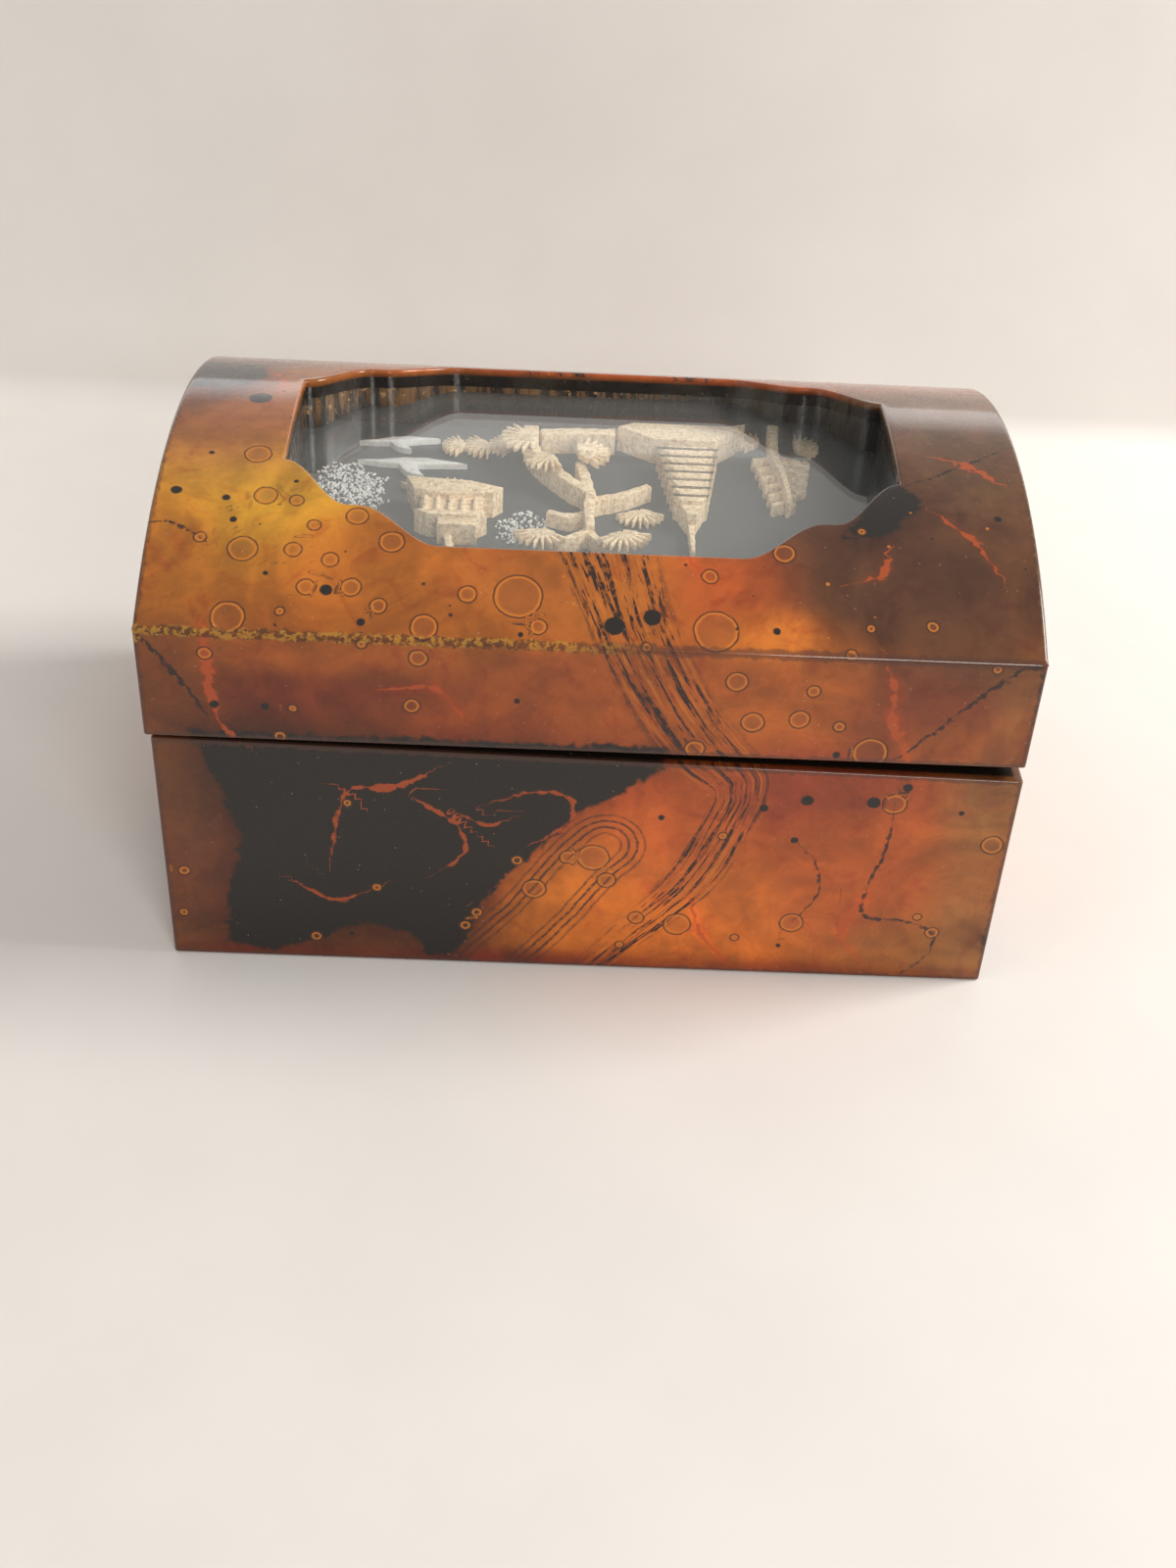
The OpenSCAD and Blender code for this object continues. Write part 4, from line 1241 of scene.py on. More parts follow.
@dataclass
class Pattern:
    """The marbled pattern, laid out on the box's skin unrolled from the front foot over the lid."""

    sizes: BoxSizes
    seed: int = 11
    sheen: float = 0.012
    bubbles: list[tuple[float, float, float, float]] = field(default_factory=list)
    pools: list[tuple[float, float, float, float, Colour]] = field(default_factory=list)
    blacks: list[tuple[float, float, float]] = field(default_factory=list)

    def __post_init__(self) -> None:
        """Adds seeded bubbles and pools where none are listed."""
        rng = np.random.default_rng(self.seed)
        self.bubbles = [(*b, 0.0) for b in BUBBLES] + [(*d, 1.0) for d in DROPS]
        self.pools = list(POOLS)
        end, back = self.sizes.half_w, self.sizes.arch.ridge_z + self.sizes.arch.length
        far = end + 2 * self.sizes.half_d
        regions = [(-84, 84, 3, 125, 60, 0), (-84, 84, 172, back + 80, 60, 16), (end, far, 2, 94, 40, 11),
                   (-far, -end, 2, 94, 40, 11)]
        tones = [(0.42, 0.13, 0.022), (0.30, 0.07, 0.02), (0.52, 0.22, 0.03), (0.16, 0.04, 0.02),
                 (0.36, 0.10, 0.022),
                 (0.24, 0.11, 0.035)]
        for x0, x1, s0, s1, count, pools in regions:
            for _ in range(count):
                x, s = rng.uniform(x0, x1), rng.uniform(s0, s1)
                r = rng.choice([0.5, 0.6, 0.8, 1.0, 1.6, 2.4], p=[0.28, 0.26, 0.2, 0.12, 0.09, 0.05])
                if pools == 0:
                    r = min(r, 0.8)
                clear = all(math.hypot(x - b[0], s - b[1]) > r + b[2] + 2.6 for b in self.bubbles)
                if clear:
                    self.bubbles.append((x, s, r, float(rng.random() < 0.45)))
            for _ in range(pools):
                x, s = rng.uniform(x0, x1), rng.uniform(s0, s1)
                self.pools.append((x, s, rng.uniform(9, 22), rng.uniform(8, 18),
                                   tones[rng.integers(len(tones))]))
            for _ in range(pools // 3):
                self.blacks.append((rng.uniform(x0, x1), rng.uniform(s0, s1), rng.uniform(7, 16)))

    def unroll(self, points: np.ndarray) -> tuple[np.ndarray, np.ndarray, np.ndarray]:
        """Places each point on the unrolled skin.

        Args:
            points: points in millimetres, one row each.

        Returns:
            The place across, the run up and over, and 1 where the point is on the painted skin.
        """
        b, (x, y, z) = self.sizes, points.T
        arch = b.arch
        skin = 1.0
        left, right = (b.lid_left, b.lid_right) if z.mean() > b.rim_z else (-b.half_w, b.half_w)
        top = (z > arch.ridge_z - 0.4) & (z > arch.height(y) - skin)
        front = ~top & (y < -b.half_d + skin)
        back = ~top & (y > b.half_d - skin)
        on_right = ~top & ~front & ~back & (x > right - skin)
        on_left = ~top & ~front & ~back & (x < left + skin)
        across = np.where(on_right, b.half_w + y + b.half_d, np.where(on_left, -b.half_w - y - b.half_d, x))
        run = np.where(top, arch.run(y), np.where(back, 2 * arch.ridge_z + arch.length - z, z))
        return across, run, (top | front | back | on_right | on_left).astype(float)

    def arris(self, points: np.ndarray) -> tuple[np.ndarray, np.ndarray]:
        """Distance to the nearest outer arris, and 1 where that arris is rubbed to gold."""
        b, (x, y, z) = self.sizes, points.T
        lid = z.mean() > b.rim_z
        left, right = (b.lid_left, b.lid_right) if lid else (-b.half_w, b.half_w)
        side_x = np.minimum(x - left, right - x)
        side_y = b.half_d - np.abs(y)
        upright = np.maximum(side_x, side_y)
        arched = np.maximum(np.abs(z - b.arch.height(y)), side_x) if lid else np.full(len(x), 9.0)
        ridge = np.maximum(np.abs(z - b.arch.ridge_z), side_y) if lid else np.full(len(x), 9.0)
        foot = z if not lid else z - b.lid_z
        foot = np.maximum(foot, np.minimum(side_x, side_y))
        rim = np.abs(z - (b.rim_z - b.rim_drop(x, y))) if not lid else np.full(len(x), 9.0)
        rim = np.maximum(rim, np.minimum(side_x, side_y))
        away = np.minimum.reduce([upright, arched, ridge, foot, rim])
        gold = (ridge < 2.5) * np.clip((12 - x) / 18, 0, 1) * np.clip((b.half_d - y) / b.half_d, 0, 1)
        return away, np.maximum(gold, 0.25 * (away == arched))

    def write(self, obj: bpy.types.Object) -> None:
        """Writes the pattern's attributes on a piece."""
        mesh = obj.data
        points = mesh_points(obj)
        x, s, skin = self.unroll(points)
        count = len(x)

        weight, total = np.full(count, 0.02), np.outer(np.full(count, 0.02), (0.30, 0.09, 0.022))
        for px, ps, rx, rs, tone in self.pools:
            w = np.exp(-(((x - px) / rx) ** 2 + ((s - ps) / rs) ** 2) * 1.1)
            weight, total = weight + w, total + w[:, None] * np.array(tone)
        tone = total / weight[:, None] * (1.10, 1.0, 1.0) - (0.0, 0.008, self.sheen)
        self.colours(mesh, "tint", np.maximum(tone, 0.003))

        depth = np.full(count, -30.0)
        for corners in BLACK_POOLS:
            depth = np.maximum(depth, polygon_depth(x, s, corners))
        for px, ps, r in self.blacks:
            bent_x = x - px + 0.55 * r * np.sin((s - ps) / (0.42 * r) + px)
            bent_s = s - ps + 0.45 * r * np.sin((x - px) / (0.55 * r) + ps)
            bent_s = bent_s + 0.25 * r * np.sin((x + s) / 5.0)
            depth = np.maximum(depth, 0.8 * (r - np.hypot(bent_x, bent_s * 1.35)))
        self.values(mesh, "dark", depth)
        loop = line_field(x, s, smooth_path(SWIRL_PATH, 3.0))[1]
        shown = np.clip((8.8 - loop) / 1.2, 0, 1) * np.clip((loop - 2.6) / 0.8, 0, 1)
        shown = shown * np.clip(-depth / 0.6, 0, 1)
        bands = np.clip((7 + depth) / 1.5, 0, 1) * np.clip((-depth - 1.2) / 0.8, 0, 1)
        unseen = (np.abs(x) > self.sizes.half_w) | (s > 170)
        bands *= unseen * np.clip(np.sin(x / 11) + np.cos(s / 9), 0, 1)
        self.vectors(mesh, "swirl", np.where(unseen, -depth, loop), np.where(unseen, bands, shown) * skin,
                     np.zeros(count))

        best, ring, kind = np.full(count, 1e9), np.zeros((count, 3)), np.zeros(count)
        for bx, bs, r, filled in self.bubbles:
            away = np.hypot(x - bx, s - bs) - r
            closer = away < best
            best = np.where(closer, away, best)
            ring[closer] = np.stack([x - bx, s - bs, np.full(count, r)], 1)[closer]
            kind[closer] = filled
        self.vectors(mesh, "ring", *ring.T)
        near = (best < 1.7).astype(float) * skin
        self.vectors(mesh, "ring_kind", near, kind, np.zeros(count))

        for name, lines in (("string", STRINGS), ("vein", VEINS)):
            plain, out = np.full(count, 1e9), np.zeros((count, 3))
            for width, path in lines:
                signed, away, share = line_field(x, s, smooth_path(path, 2.0))
                closer = away < plain
                plain = np.where(closer, away, plain)
                taper = width * (0.35 + 0.65 * np.sin(np.pi * np.clip(share, 0.04, 0.96)))
                out[closer] = np.stack([signed, taper, (away < 5.0).astype(float)], 1)[closer]
            out[:, 2] *= skin
            self.vectors(mesh, name, *out.T)

        across, along = np.full(count, 9.0), np.zeros(count)
        for widths, path in STREAKS:
            signed, away, share = line_field(x, s, smooth_path(path, 4.0))
            here = signed / np.interp(share, np.linspace(0, 1, len(widths)), widths)
            closer = np.abs(here) < np.abs(across)
            across, along = np.where(closer, here, across), np.where(closer, share * 140, along)
        self.vectors(mesh, "streak", across, along, np.clip((1.05 - np.abs(across)) * 4, 0, 1) * skin)

        edge, gold = self.arris(points)
        self.vectors(mesh, "arris", edge, gold, np.zeros(count))
        self.values(mesh, "painted", skin)

    @staticmethod
    def values(mesh: bpy.types.Mesh, name: str, values: np.ndarray) -> None:
        """Stores one number for each vertex."""
        mesh.attributes.new(name, "FLOAT", "POINT").data.foreach_set("value", values.astype(np.float32))

    @staticmethod
    def vectors(mesh: bpy.types.Mesh, name: str, *parts: np.ndarray) -> None:
        """Stores three numbers for each vertex."""
        flat = np.stack(parts, 1).astype(np.float32).ravel()
        mesh.attributes.new(name, "FLOAT_VECTOR", "POINT").data.foreach_set("vector", flat)

    @staticmethod
    def colours(mesh: bpy.types.Mesh, name: str, tones: np.ndarray) -> None:
        """Stores a colour for each vertex."""
        flat = np.hstack([tones, np.ones((len(tones), 1))]).astype(np.float32).ravel()
        mesh.attributes.new(name, "FLOAT_COLOR", "POINT").data.foreach_set("color", flat)


# ---------------------------------------------------------------- sub-assemblies


def settle(obj: bpy.types.Object, body: Body, slot: str, *nodes: str) -> bpy.types.Object:
    """Makes a piece ride on its body, hides the CAD nodes it stands for, and logs it."""
    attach(obj, body.value)
    if nodes:
        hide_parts(*nodes)
    LOG.info("%s: %d faces, rides on %s", obj.name, len(obj.data.polygons), body.value)
    return obj


def dress(obj: bpy.types.Object, material: bpy.types.Material) -> None:
    """Gives a piece one material."""
    obj.data.materials.clear()
    obj.data.materials.append(material)


@dataclass
class Carcass:
    """The lacquered boards of the base and the walls of the lid."""

    sizes: BoxSizes
    pattern: Pattern
    lacquer: bpy.types.Material
    arris_r: float = 0.7
    foot_r: float = 0.5
    ridge_r: float = 1.2
    step: float = 1.15

    def build(self) -> None:
        """Builds the eight boards."""
        b, a, f = self.sizes, self.arris_r, self.foot_r
        for node, low_r, high_r in (
            ("base_front_board", (a, a, f), (a, 0, f)), ("base_back_board", (a, 0, f), (a, a, 0)),
            ("base_left_end", (a, 0, f), (0, 0, f)), ("base_right_end", (0, 0, f), (a, 0, f)),
            ("lid_front_rail", (a, a, f), (a, 0, 0)), ("lid_back_rail", (a, 0, 0), (a, a, 0)),
            ("lid_left_end", (a, 0, f), (0, 0, 0)), ("lid_right_end", (0, 0, f), (a, 0, 0)),
        ):
            low, high = node_box(node)
            points, faces = rounded_block(low, high, low_r, high_r, self.step)
            share = (points[:, 2] - low[2]) / (high[2] - low[2])
            if Body.of(node) is Body.BASE:
                drop = b.rim_drop(points[:, 0], points[:, 1])
                points[:, 2] -= share * drop * (b.rim_z / (high[2] - low[2]))
            elif node.endswith("end"):
                reach = b.arch.height(points[:, 1], b.dome_t) - 0.05
                points[:, 2] = low[2] + share * (reach - low[2])
            if node.endswith("back_board") or node.endswith("back_rail"):
                points = self.bevelled(node, points)
            if "rail" in node:
                points = self.round_ridge(points)
            obj = mesh_object(node + "_lacquered", points, faces)
            outward(obj)
            if "back" in node:
                for cutter in self.hinge_room(Body.of(node) is Body.BASE):
                    cut_by(obj, cutter)
            self.pattern.write(obj)
            dress(obj, self.lacquer)
            sharpen(obj, 50)
            settle(obj, Body.of(node), "lacquer", node)

    def bevelled(self, node: str, points: np.ndarray) -> np.ndarray:
        """Cuts the groove behind the hinge axis into a back board's points."""
        cad = node_points(node)
        back = cad[cad[:, 1] > self.sizes.half_d - 0.05]
        below = Body.of(node) is Body.BASE
        edge_z = back[:, 2].max() if below else back[:, 2].min()
        face_z = cad[:, 2].max() if below else cad[:, 2].min()
        start_y = cad[np.abs(cad[:, 2] - face_z) < 0.02][:, 1].max()
        slope = (edge_z - face_z) / (self.sizes.half_d - start_y)
        limit = face_z + np.clip(points[:, 1] - start_y, 0, None) * slope
        points[:, 2] = np.minimum(points[:, 2], limit) if below else np.maximum(points[:, 2], limit)
        return points

    def round_ridge(self, points: np.ndarray) -> np.ndarray:
        """Rounds the ridges where the walls meet the arched top."""
        arch, r = self.sizes.arch, self.ridge_r
        centre_y = self.sizes.half_d - r
        centre_z = arch.centre_z + math.sqrt((arch.radius - r) ** 2 - centre_y**2)
        y, z = np.abs(points[:, 1]), points[:, 2]
        slope_out = (y - centre_y) * (centre_z - arch.centre_z) - (z - centre_z) * centre_y
        outer = (z > centre_z) & (slope_out > 0) & (y > centre_y * 0.9)
        off_y, off_z = y - centre_y, z - centre_z
        size = np.maximum(np.hypot(off_y, off_z), 1e-9)
        reach = np.minimum(1.0, r / size)
        points[:, 1] = np.where(outer, np.sign(points[:, 1]) * (centre_y + off_y * reach), points[:, 1])
        points[:, 2] = np.where(outer, centre_z + off_z * reach, points[:, 2])
        return points

    def hinge_room(self, below: bool) -> list[bpy.types.Object]:
        """Cutters for the leaves and the knuckles in one back board."""
        cutters = []
        for side in ("left", "right"):
            leaf_low = node_box(f"hinge_leaf_{'base' if below else 'lid'}_{side}")[0]
            pin_low, pin_high = node_box(f"hinge_pin_{side}")
            axis = (pin_low + pin_high) / 2
            length = pin_high[0] - pin_low[0]
            face_z = self.sizes.rim_z if below else self.sizes.lid_z
            low_z, high_z = (face_z - 0.8, face_z + 1) if below else (face_z - 1, face_z + 0.8)
            low = (pin_low[0] - 0.1, leaf_low[1] - 0.1, low_z)
            high = (pin_high[0] + 0.1, axis[1], high_z)
            cutters.append(mesh_object("leaf_room", *rounded_block(low, high, (0, 0, 0), (0, 0, 0), 50.0)))
            turns = np.linspace(0, 2 * math.pi, 40, endpoint=False)
            circle = np.stack([axis[1] + 1.9 * np.cos(turns), axis[2] + 1.9 * np.sin(turns)], 1)
            reach = length / 2 + 0.2
            points = [(axis[0] + end, y, z) for end in (-reach, reach) for y, z in circle]
            faces = [(i, (i + 1) % 40, 40 + (i + 1) % 40, 40 + i) for i in range(40)]
            faces += [tuple(range(39, -1, -1)), tuple(range(40, 80))]
            cutters.append(mesh_object("knuckle_room", np.array(points), faces))
        for cutter in cutters:
            outward(cutter)
        return cutters


@dataclass
class ArchedTop:
    """The arched panel, the black surround below it and the window outline they share."""

    sizes: BoxSizes
    carcass: Carcass
    black: bpy.types.Material
    window: Cartouche
    lip_r: float = 0.9
    arris_r: float = 0.8
    count: int = 460
    rows: int = 20

    def rims(self) -> tuple[np.ndarray, np.ndarray, np.ndarray]:
        """The window outline, its outward directions, and the matching points of the panel's edge."""
        outline = self.window.outline(self.count)
        along = np.roll(outline, -1, 0) - np.roll(outline, 1, 0)
        out = np.stack([along[:, 1], -along[:, 0]], 1) / np.linalg.norm(along, axis=1, keepdims=True)
        b = self.sizes
        low, high = np.array([b.lid_left, -b.half_d]), np.array([b.lid_right, b.half_d])
        corners = np.array([[high[0], high[1]], [low[0], high[1]], [low[0], low[1]], [high[0], low[1]]])
        centre = np.array([self.window.centre_x, self.window.centre_y])
        knees = centre + np.array([[46.4, 29], [-46.4, 29], [-46.4, -29], [46.4, -29]])
        at = [int(np.argmin(np.linalg.norm(outline - k, axis=1))) for k in knees]
        edge = np.zeros_like(outline)
        for k in range(4):
            start, stop = at[k], at[(k + 1) % 4]
            span = (stop - start) % self.count
            for i in range(span):
                edge[(start + i) % self.count] = corners[k] + (corners[(k + 1) % 4] - corners[k]) * i / span
        return outline, out, edge

    def build(self, pattern: Pattern, lacquer: bpy.types.Material) -> None:
        """Builds the arched panel and the surround."""
        b, arch = self.sizes, self.sizes.arch
        outline, out, edge = self.rims()
        under_edge_y = math.sqrt((arch.radius - b.dome_t) ** 2 - (arch.ridge_z - arch.centre_z) ** 2)

        def ring(plan: np.ndarray, height: np.ndarray) -> np.ndarray:
            """A ring of points from plan and height."""
            return np.column_stack([plan, height])

        under_out = np.column_stack([edge[:, 0], np.clip(edge[:, 1], -under_edge_y, under_edge_y)])
        rings = []
        for t in np.linspace(1, 0, 7):
            plan = outline + (under_out - outline) * t
            rings.append(ring(plan, arch.height(plan[:, 1], b.dome_t)))
        for drop in (2.7, 1.8):
            rings.append(ring(outline, arch.height(outline[:, 1]) - drop))
        for turn in np.linspace(0, math.pi / 2, 6):
            plan = outline + out * self.lip_r * (1 - math.cos(turn))
            rings.append(ring(plan, arch.height(plan[:, 1]) - self.lip_r * (1 - math.sin(turn))))
        lip = outline + out * self.lip_r
        shares = np.concatenate([np.linspace(0, 0.965, self.rows)[1:],
                                 [0.975, 0.983, 0.989, 0.994, 0.998, 1.0]])
        for t in shares:
            plan = lip + (edge - lip) * t
            side = np.minimum(plan[:, 0] - b.lid_left, b.lid_right - plan[:, 0])
            over = np.clip(self.arris_r - side, 0, None)
            fall = self.arris_r - np.sqrt(np.clip(self.arris_r**2 - over**2, 0, None))
            rings.append(ring(plan, np.maximum(arch.height(plan[:, 1]) - fall, arch.ridge_z)))
        for t in (0.4, 0.75):
            top, low = rings[-1] if t == 0.4 else rings[-2], rings[0]
            rings.append(top + (low - top) * t)
        points, faces = ring_grid(rings, closed=True)
        points = self.carcass.round_ridge(points)
        dome = mesh_object("lid_dome_lacquered", points, faces)
        outward(dome)
        pattern.write(dome)
        dress(dome, lacquer)
        sharpen(dome, 50)
        settle(dome, Body.LID, "lacquer", "lid_dome")

        glass_low, glass_high = node_box("window_glass")
        inset = 0.02
        rings = []
        for z_share in (0.0, 0.25, 0.5, 0.75, 1.0):
            top = arch.height(outline[:, 1], b.dome_t + 0.05)
            rings.append(ring(outline + out * inset, b.glass_z + (top - b.glass_z) * z_share))
        edge_glass = np.clip(outline + (edge - outline) * 0.8, glass_low[:2], glass_high[:2])
        rings.append(ring(edge_glass, arch.height(edge_glass[:, 1], b.dome_t + 0.05)))
        rings.append(ring(edge_glass, np.full(self.count, b.glass_z)))
        points, faces = ring_grid(rings, closed=True)
        surround = mesh_object("window_surround_black", points, faces)
        outward(surround)
        points = mesh_points(surround)
        z_share = (arch.height(points[:, 1], b.dome_t) - points[:, 2]) / 8
        cut = np.clip((22 - points[:, 0]) / 20, 0, 1) * np.clip(1.2 - z_share, 0, 1)
        Pattern.values(surround.data, "cut", cut)
        dress(surround, self.black)
        sharpen(surround, 50)
        settle(surround, Body.LID, "black_lacquer", "window_surround")


@dataclass
class Picture:
    """The carved cork landscape behind the glass, laid out for a viewer behind the box."""

    sizes: BoxSizes
    cork: bpy.types.Material
    feather: bpy.types.Material
    bead: bpy.types.Material
    sheet: float = 2.4
    blade_growth: float = 1.12
    fans: GeometryTree = field(default_factory=fan_tree)
    storeys: GeometryTree = field(default_factory=repeat_tree)
    beads: GeometryTree = field(default_factory=bead_tree)

    def placed(self, obj: bpy.types.Object) -> bpy.types.Object:
        """Turns a piece round and lays it on the backing."""
        b = self.sizes
        seat = Matrix.Translation(Vector((b.lid_mid_x, 0, b.picture_z)) * MM)
        move = seat @ Matrix.Rotation(math.pi, 4, "Z")
        obj.data.transform(move)
        return obj

    def fan(self, at: tuple[float, float], reach: float, angle: float, low: float = 0.0) -> bpy.types.Object:
        """A leaf fan of separate blades."""
        r = reach * self.blade_growth
        upper = [(x * r, y * r) for x, y in ((0, 0.16), (0.55, 0.16), (0.62, 0.07), (1.12, 0.055))]
        blade = [(x, -y) for x, y in upper] + [(1.2 * r, 0)] + upper[::-1]
        obj = slab("fan", blade, 0, self.sheet * 0.6, 0.1)
        self.fans.apply(obj, Blades=9, Spread=2.5, Material=self.cork)
        turn = Matrix.Translation(Vector((*at, low)) * MM) @ Matrix.Rotation(math.radians(angle), 4, "Z")
        squeeze = Matrix.Diagonal((0.95, 0.95, 1, 1))
        obj.data.transform(turn @ squeeze)
        return obj

    def finish(self, node: str, parts: list[bpy.types.Object]) -> bpy.types.Object:
        """Joins the parts of a carving and seats it."""
        for part in parts:
            dress(part, self.cork)
        obj = self.placed(joined(node + "_cut", parts))
        return settle(obj, Body.LID, "cork", node)

    def build(self) -> None:
        """Builds every carving."""
        self.build_pagoda()
        self.build_landing()
        self.build_bridge()
        self.build_tree()
        self.build_foliage()
        self.build_pavilion()
        self.build_small_tree()
        self.build_cranes()
        self.build_blossom()

    def build_pagoda(self) -> None:
        """Seven storeys that shrink upwards, a cap and a spire."""
        s = self.sheet
        at_x, at_y, width, rise = -20.6, -23.0, 12.4, 3.5
        half = width / 2
        roof = [
            (-half, 0.5 * rise), (-half - 0.5, 0.34 * rise), (-half + 1.0, 0.62 * rise),
            (-half + 2.4, 1.0 * rise),
            (half - 2.4, 1.0 * rise), (half - 1.0, 0.62 * rise), (half + 0.5, 0.34 * rise),
            (half, 0.5 * rise),
            (half - 1.6, 0.3 * rise), (half - 1.9, 0), (-half + 1.9, 0), (-half + 1.6, 0.3 * rise),
        ]
        hall = rectangle(-3.6, 0.02, 3.6, 1.6)
        storey = joined("storey", [slab("roof", roof, 0, 2.4 * s), slab("hall", hall, 0, 2.1 * s)])
        self.storeys.apply(storey, Count=7, Rise=(0, rise * MM, 0), Shrink=0.075, Material=self.cork)
        storey.data.transform(Matrix.Translation((at_x * MM, at_y * MM, 0)))
        top = [(at_x - 2.4, 1.5), (at_x + 2.4, 1.5), (at_x + 1.0, 5.5), (at_x - 1.0, 5.5)]
        cap = slab("cap", top, 0, 2 * s)
        spire = slab("spire", limb_outline([(at_x, 4.5), (at_x, 16.4)], 1.5, 0.8), 0, s)
        self.finish("carved_pagoda", [storey, cap, spire])

    def build_landing(self) -> None:
        """The landing with its boat-shaped edge and leaves along the shore."""
        s = self.sheet
        edge = [(-34, -34.5), (-31, -30), (-27, -25.5), (-13, -25.5), (-5.5, -31), (-9, -33), (-30, -33)]
        quay = slab("quay", edge, 0, 2.5 * s)
        shore = slab("shore", rectangle(-30, -37.5, -6, -34.5), 0, s)
        tufts = ((-29, 3.4), (-23.5, 3.6), (-18, 3.6), (-12, 3.4), (-7, 3.2))
        leaves = [self.fan((x, -35.5), reach, -90) for x, reach in tufts]
        self.finish("carved_landing", [quay, shore] + leaves)

    def build_bridge(self) -> None:
        """The bridge's deck, with its posts and handrail."""
        s = self.sheet
        plank = slab("plank", limb_outline([(-4.8, -30.2), (4, -30), (11.6, -29)], 3.2, 2.8), 0, 2 * s)
        posts = [((-4 + 5 * i, -31.5), (-4 + 5 * i, -34.5), 1.2, s) for i in range(4)]
        self.finish("carved_bridge", [plank] + bars(posts + [((-4.8, -34.2), (18, -33.6), 1.1, s)]))

    def build_tree(self) -> None:
        """The crooked tree in the middle."""
        limbs = [
            ([(14, -32), (12.7, -20), (5, -7.5), (0.8, -2.7), (1, 3.5), (0.6, 12)], 3.1, 1.8, 2.0),
            ([(0.9, -2.2), (1.8, -10), (3, -16)], 2.7, 2.0, 1.9),
            ([(0.5, -1.2), (-6, -4), (-12, -8.5)], 2.4, 1.6, 1.5),
            ([(1, 4), (5, 5.5), (9.5, 4)], 2.2, 1.5, 1.4),
            ([(0.3, 11), (6, 15.5), (11, 15.5)], 1.9, 1.3, 1.5),
            ([(1, 11.3), (-2, 15.5), (-7, 15)], 1.9, 1.3, 1.4),
        ]
        parts = [slab("limb", limb_outline(p, start, end), 0, t * self.sheet) for p, start, end, t in limbs]
        self.finish("carved_tree", parts)

    def build_foliage(self) -> None:
        """The tree's leaf fans, raised on its limbs, and those beside the bridge."""
        crown = [
            ((2.8, -17.5), 5, 200, 2.0), ((13.5, -24), 5.5, 20, 2.0), ((9.5, -15), 4.5, 45, 2.0),
            ((10.5, 15.2), 4.6, 75, 1.5), ((-6, 14.8), 4.6, 100, 1.5), ((-10, -0.8), 4.2, 90, 0),
            ((18.5, -29), 3.8, 0, 0), ((23.5, -28.5), 4.2, 20, 0), ((29, -28), 3.6, 0, 0),
        ]
        self.finish("carved_foliage", [self.fan(p, r, a, t * self.sheet + 0.05) for p, r, a, t in crown])

    def build_pavilion(self) -> None:
        """The pavilion: its hall, three roofs, posts and the leaves beside it."""
        s = self.sheet
        hall = slab("hall", rectangle(23, 2, 36, 10), 0, 2 * s)
        eaves = [(19, -0.5), (26, -3), (39.5, -4), (37.5, 1.5), (31, 3), (21, 2)]
        roofs = [
            slab("roof", eaves, 0, 2.5 * s),
            slab("roof", rectangle(24, 10.3, 32, 13.7), 0, 2 * s),
            slab("roof", [(22, 9), (24, 11), (34, 11), (37, 9)], 0, 2.3 * s),
        ]
        outer = [((30, 13.5), (29, 18.5), 1.6, s), ((30, -1), (30.5, -7), 1.5, s),
                 ((36, -2.5), (36.5, -8), 1.5, s)]
        inner = [((24.5 + 2.6 * i, 3), (24.5 + 2.6 * i, 9), 0.8, 2.3 * s) for i in range(5)]
        posts = bars(outer + inner)
        leaves = [self.fan((30.5, -7), 4.2, -80), self.fan((36.5, -6.5), 4.2, -100)]
        self.finish("carved_pavilion", [hall] + roofs + posts + leaves)

    def build_small_tree(self) -> None:
        """The small tree: a trunk, pairs of twigs, sprigs and two bushes at its foot."""
        s = self.sheet
        stem = limb_outline([(-40.5, -37), (-40, -24), (-41.3, -12), (-41.7, -3)], 2.3, 0.9)
        trunk = slab("trunk", stem, 0, 2 * s)
        twigs = []
        for i in range(6):
            y, reach = -26 + 4 * i, 5.5 - 0.6 * i
            twigs.append(((-40.4, y - 0.4), (-40.6 - reach, y + 1.5), 1.3, s))
            twigs.append(((-41, y + 0.7), (-40.8 + reach, y + 2.4), 1.2, 1.2 * s))
        sprigs = [self.fan((-40.6 - (5.2 - 0.6 * i), -24.6 + 4 * i), 1.9, 160, 0.2) for i in range(4)]
        bushes = [self.fan((-46, -34), 4, -160), self.fan((-37, -35), 3.6, -20)]
        self.finish("carved_small_tree", [trunk] + bars(twigs) + sprigs + bushes)

    def build_cranes(self) -> None:
        """Builds the two flying cranes of white card."""
        body = [(-12, 0.6), (-9.5, -0.2), (-7, -0.6), (-3, -1.6), (2, -1.4), (7, -0.1), (12, 0.2),
                (7.2, 1.1), (3, 1.4),
                (2.2, 3.4), (1, 5), (-1, 6.2), (-3, 6.5), (-1.6, 4), (-1, 1.6), (-6, 1)]
        birds = []
        for place, angle, size in (((39.5, -19.5), 0, 1.0), ((43, -29.5), 8, 0.75)):
            bird = slab("bird", body, 0, 1.4, 0.25)
            shift = Matrix.Translation(Vector((*place, 0)) * MM)
            turn = shift @ Matrix.Rotation(math.radians(angle), 4, "Z")
            bird.data.transform(turn @ Matrix.Diagonal((size, size, 1, 1)))
            dress(bird, self.feather)
            birds.append(bird)
        settle(self.placed(joined("carved_cranes_white", birds)), Body.LID, "feather", "carved_cranes")

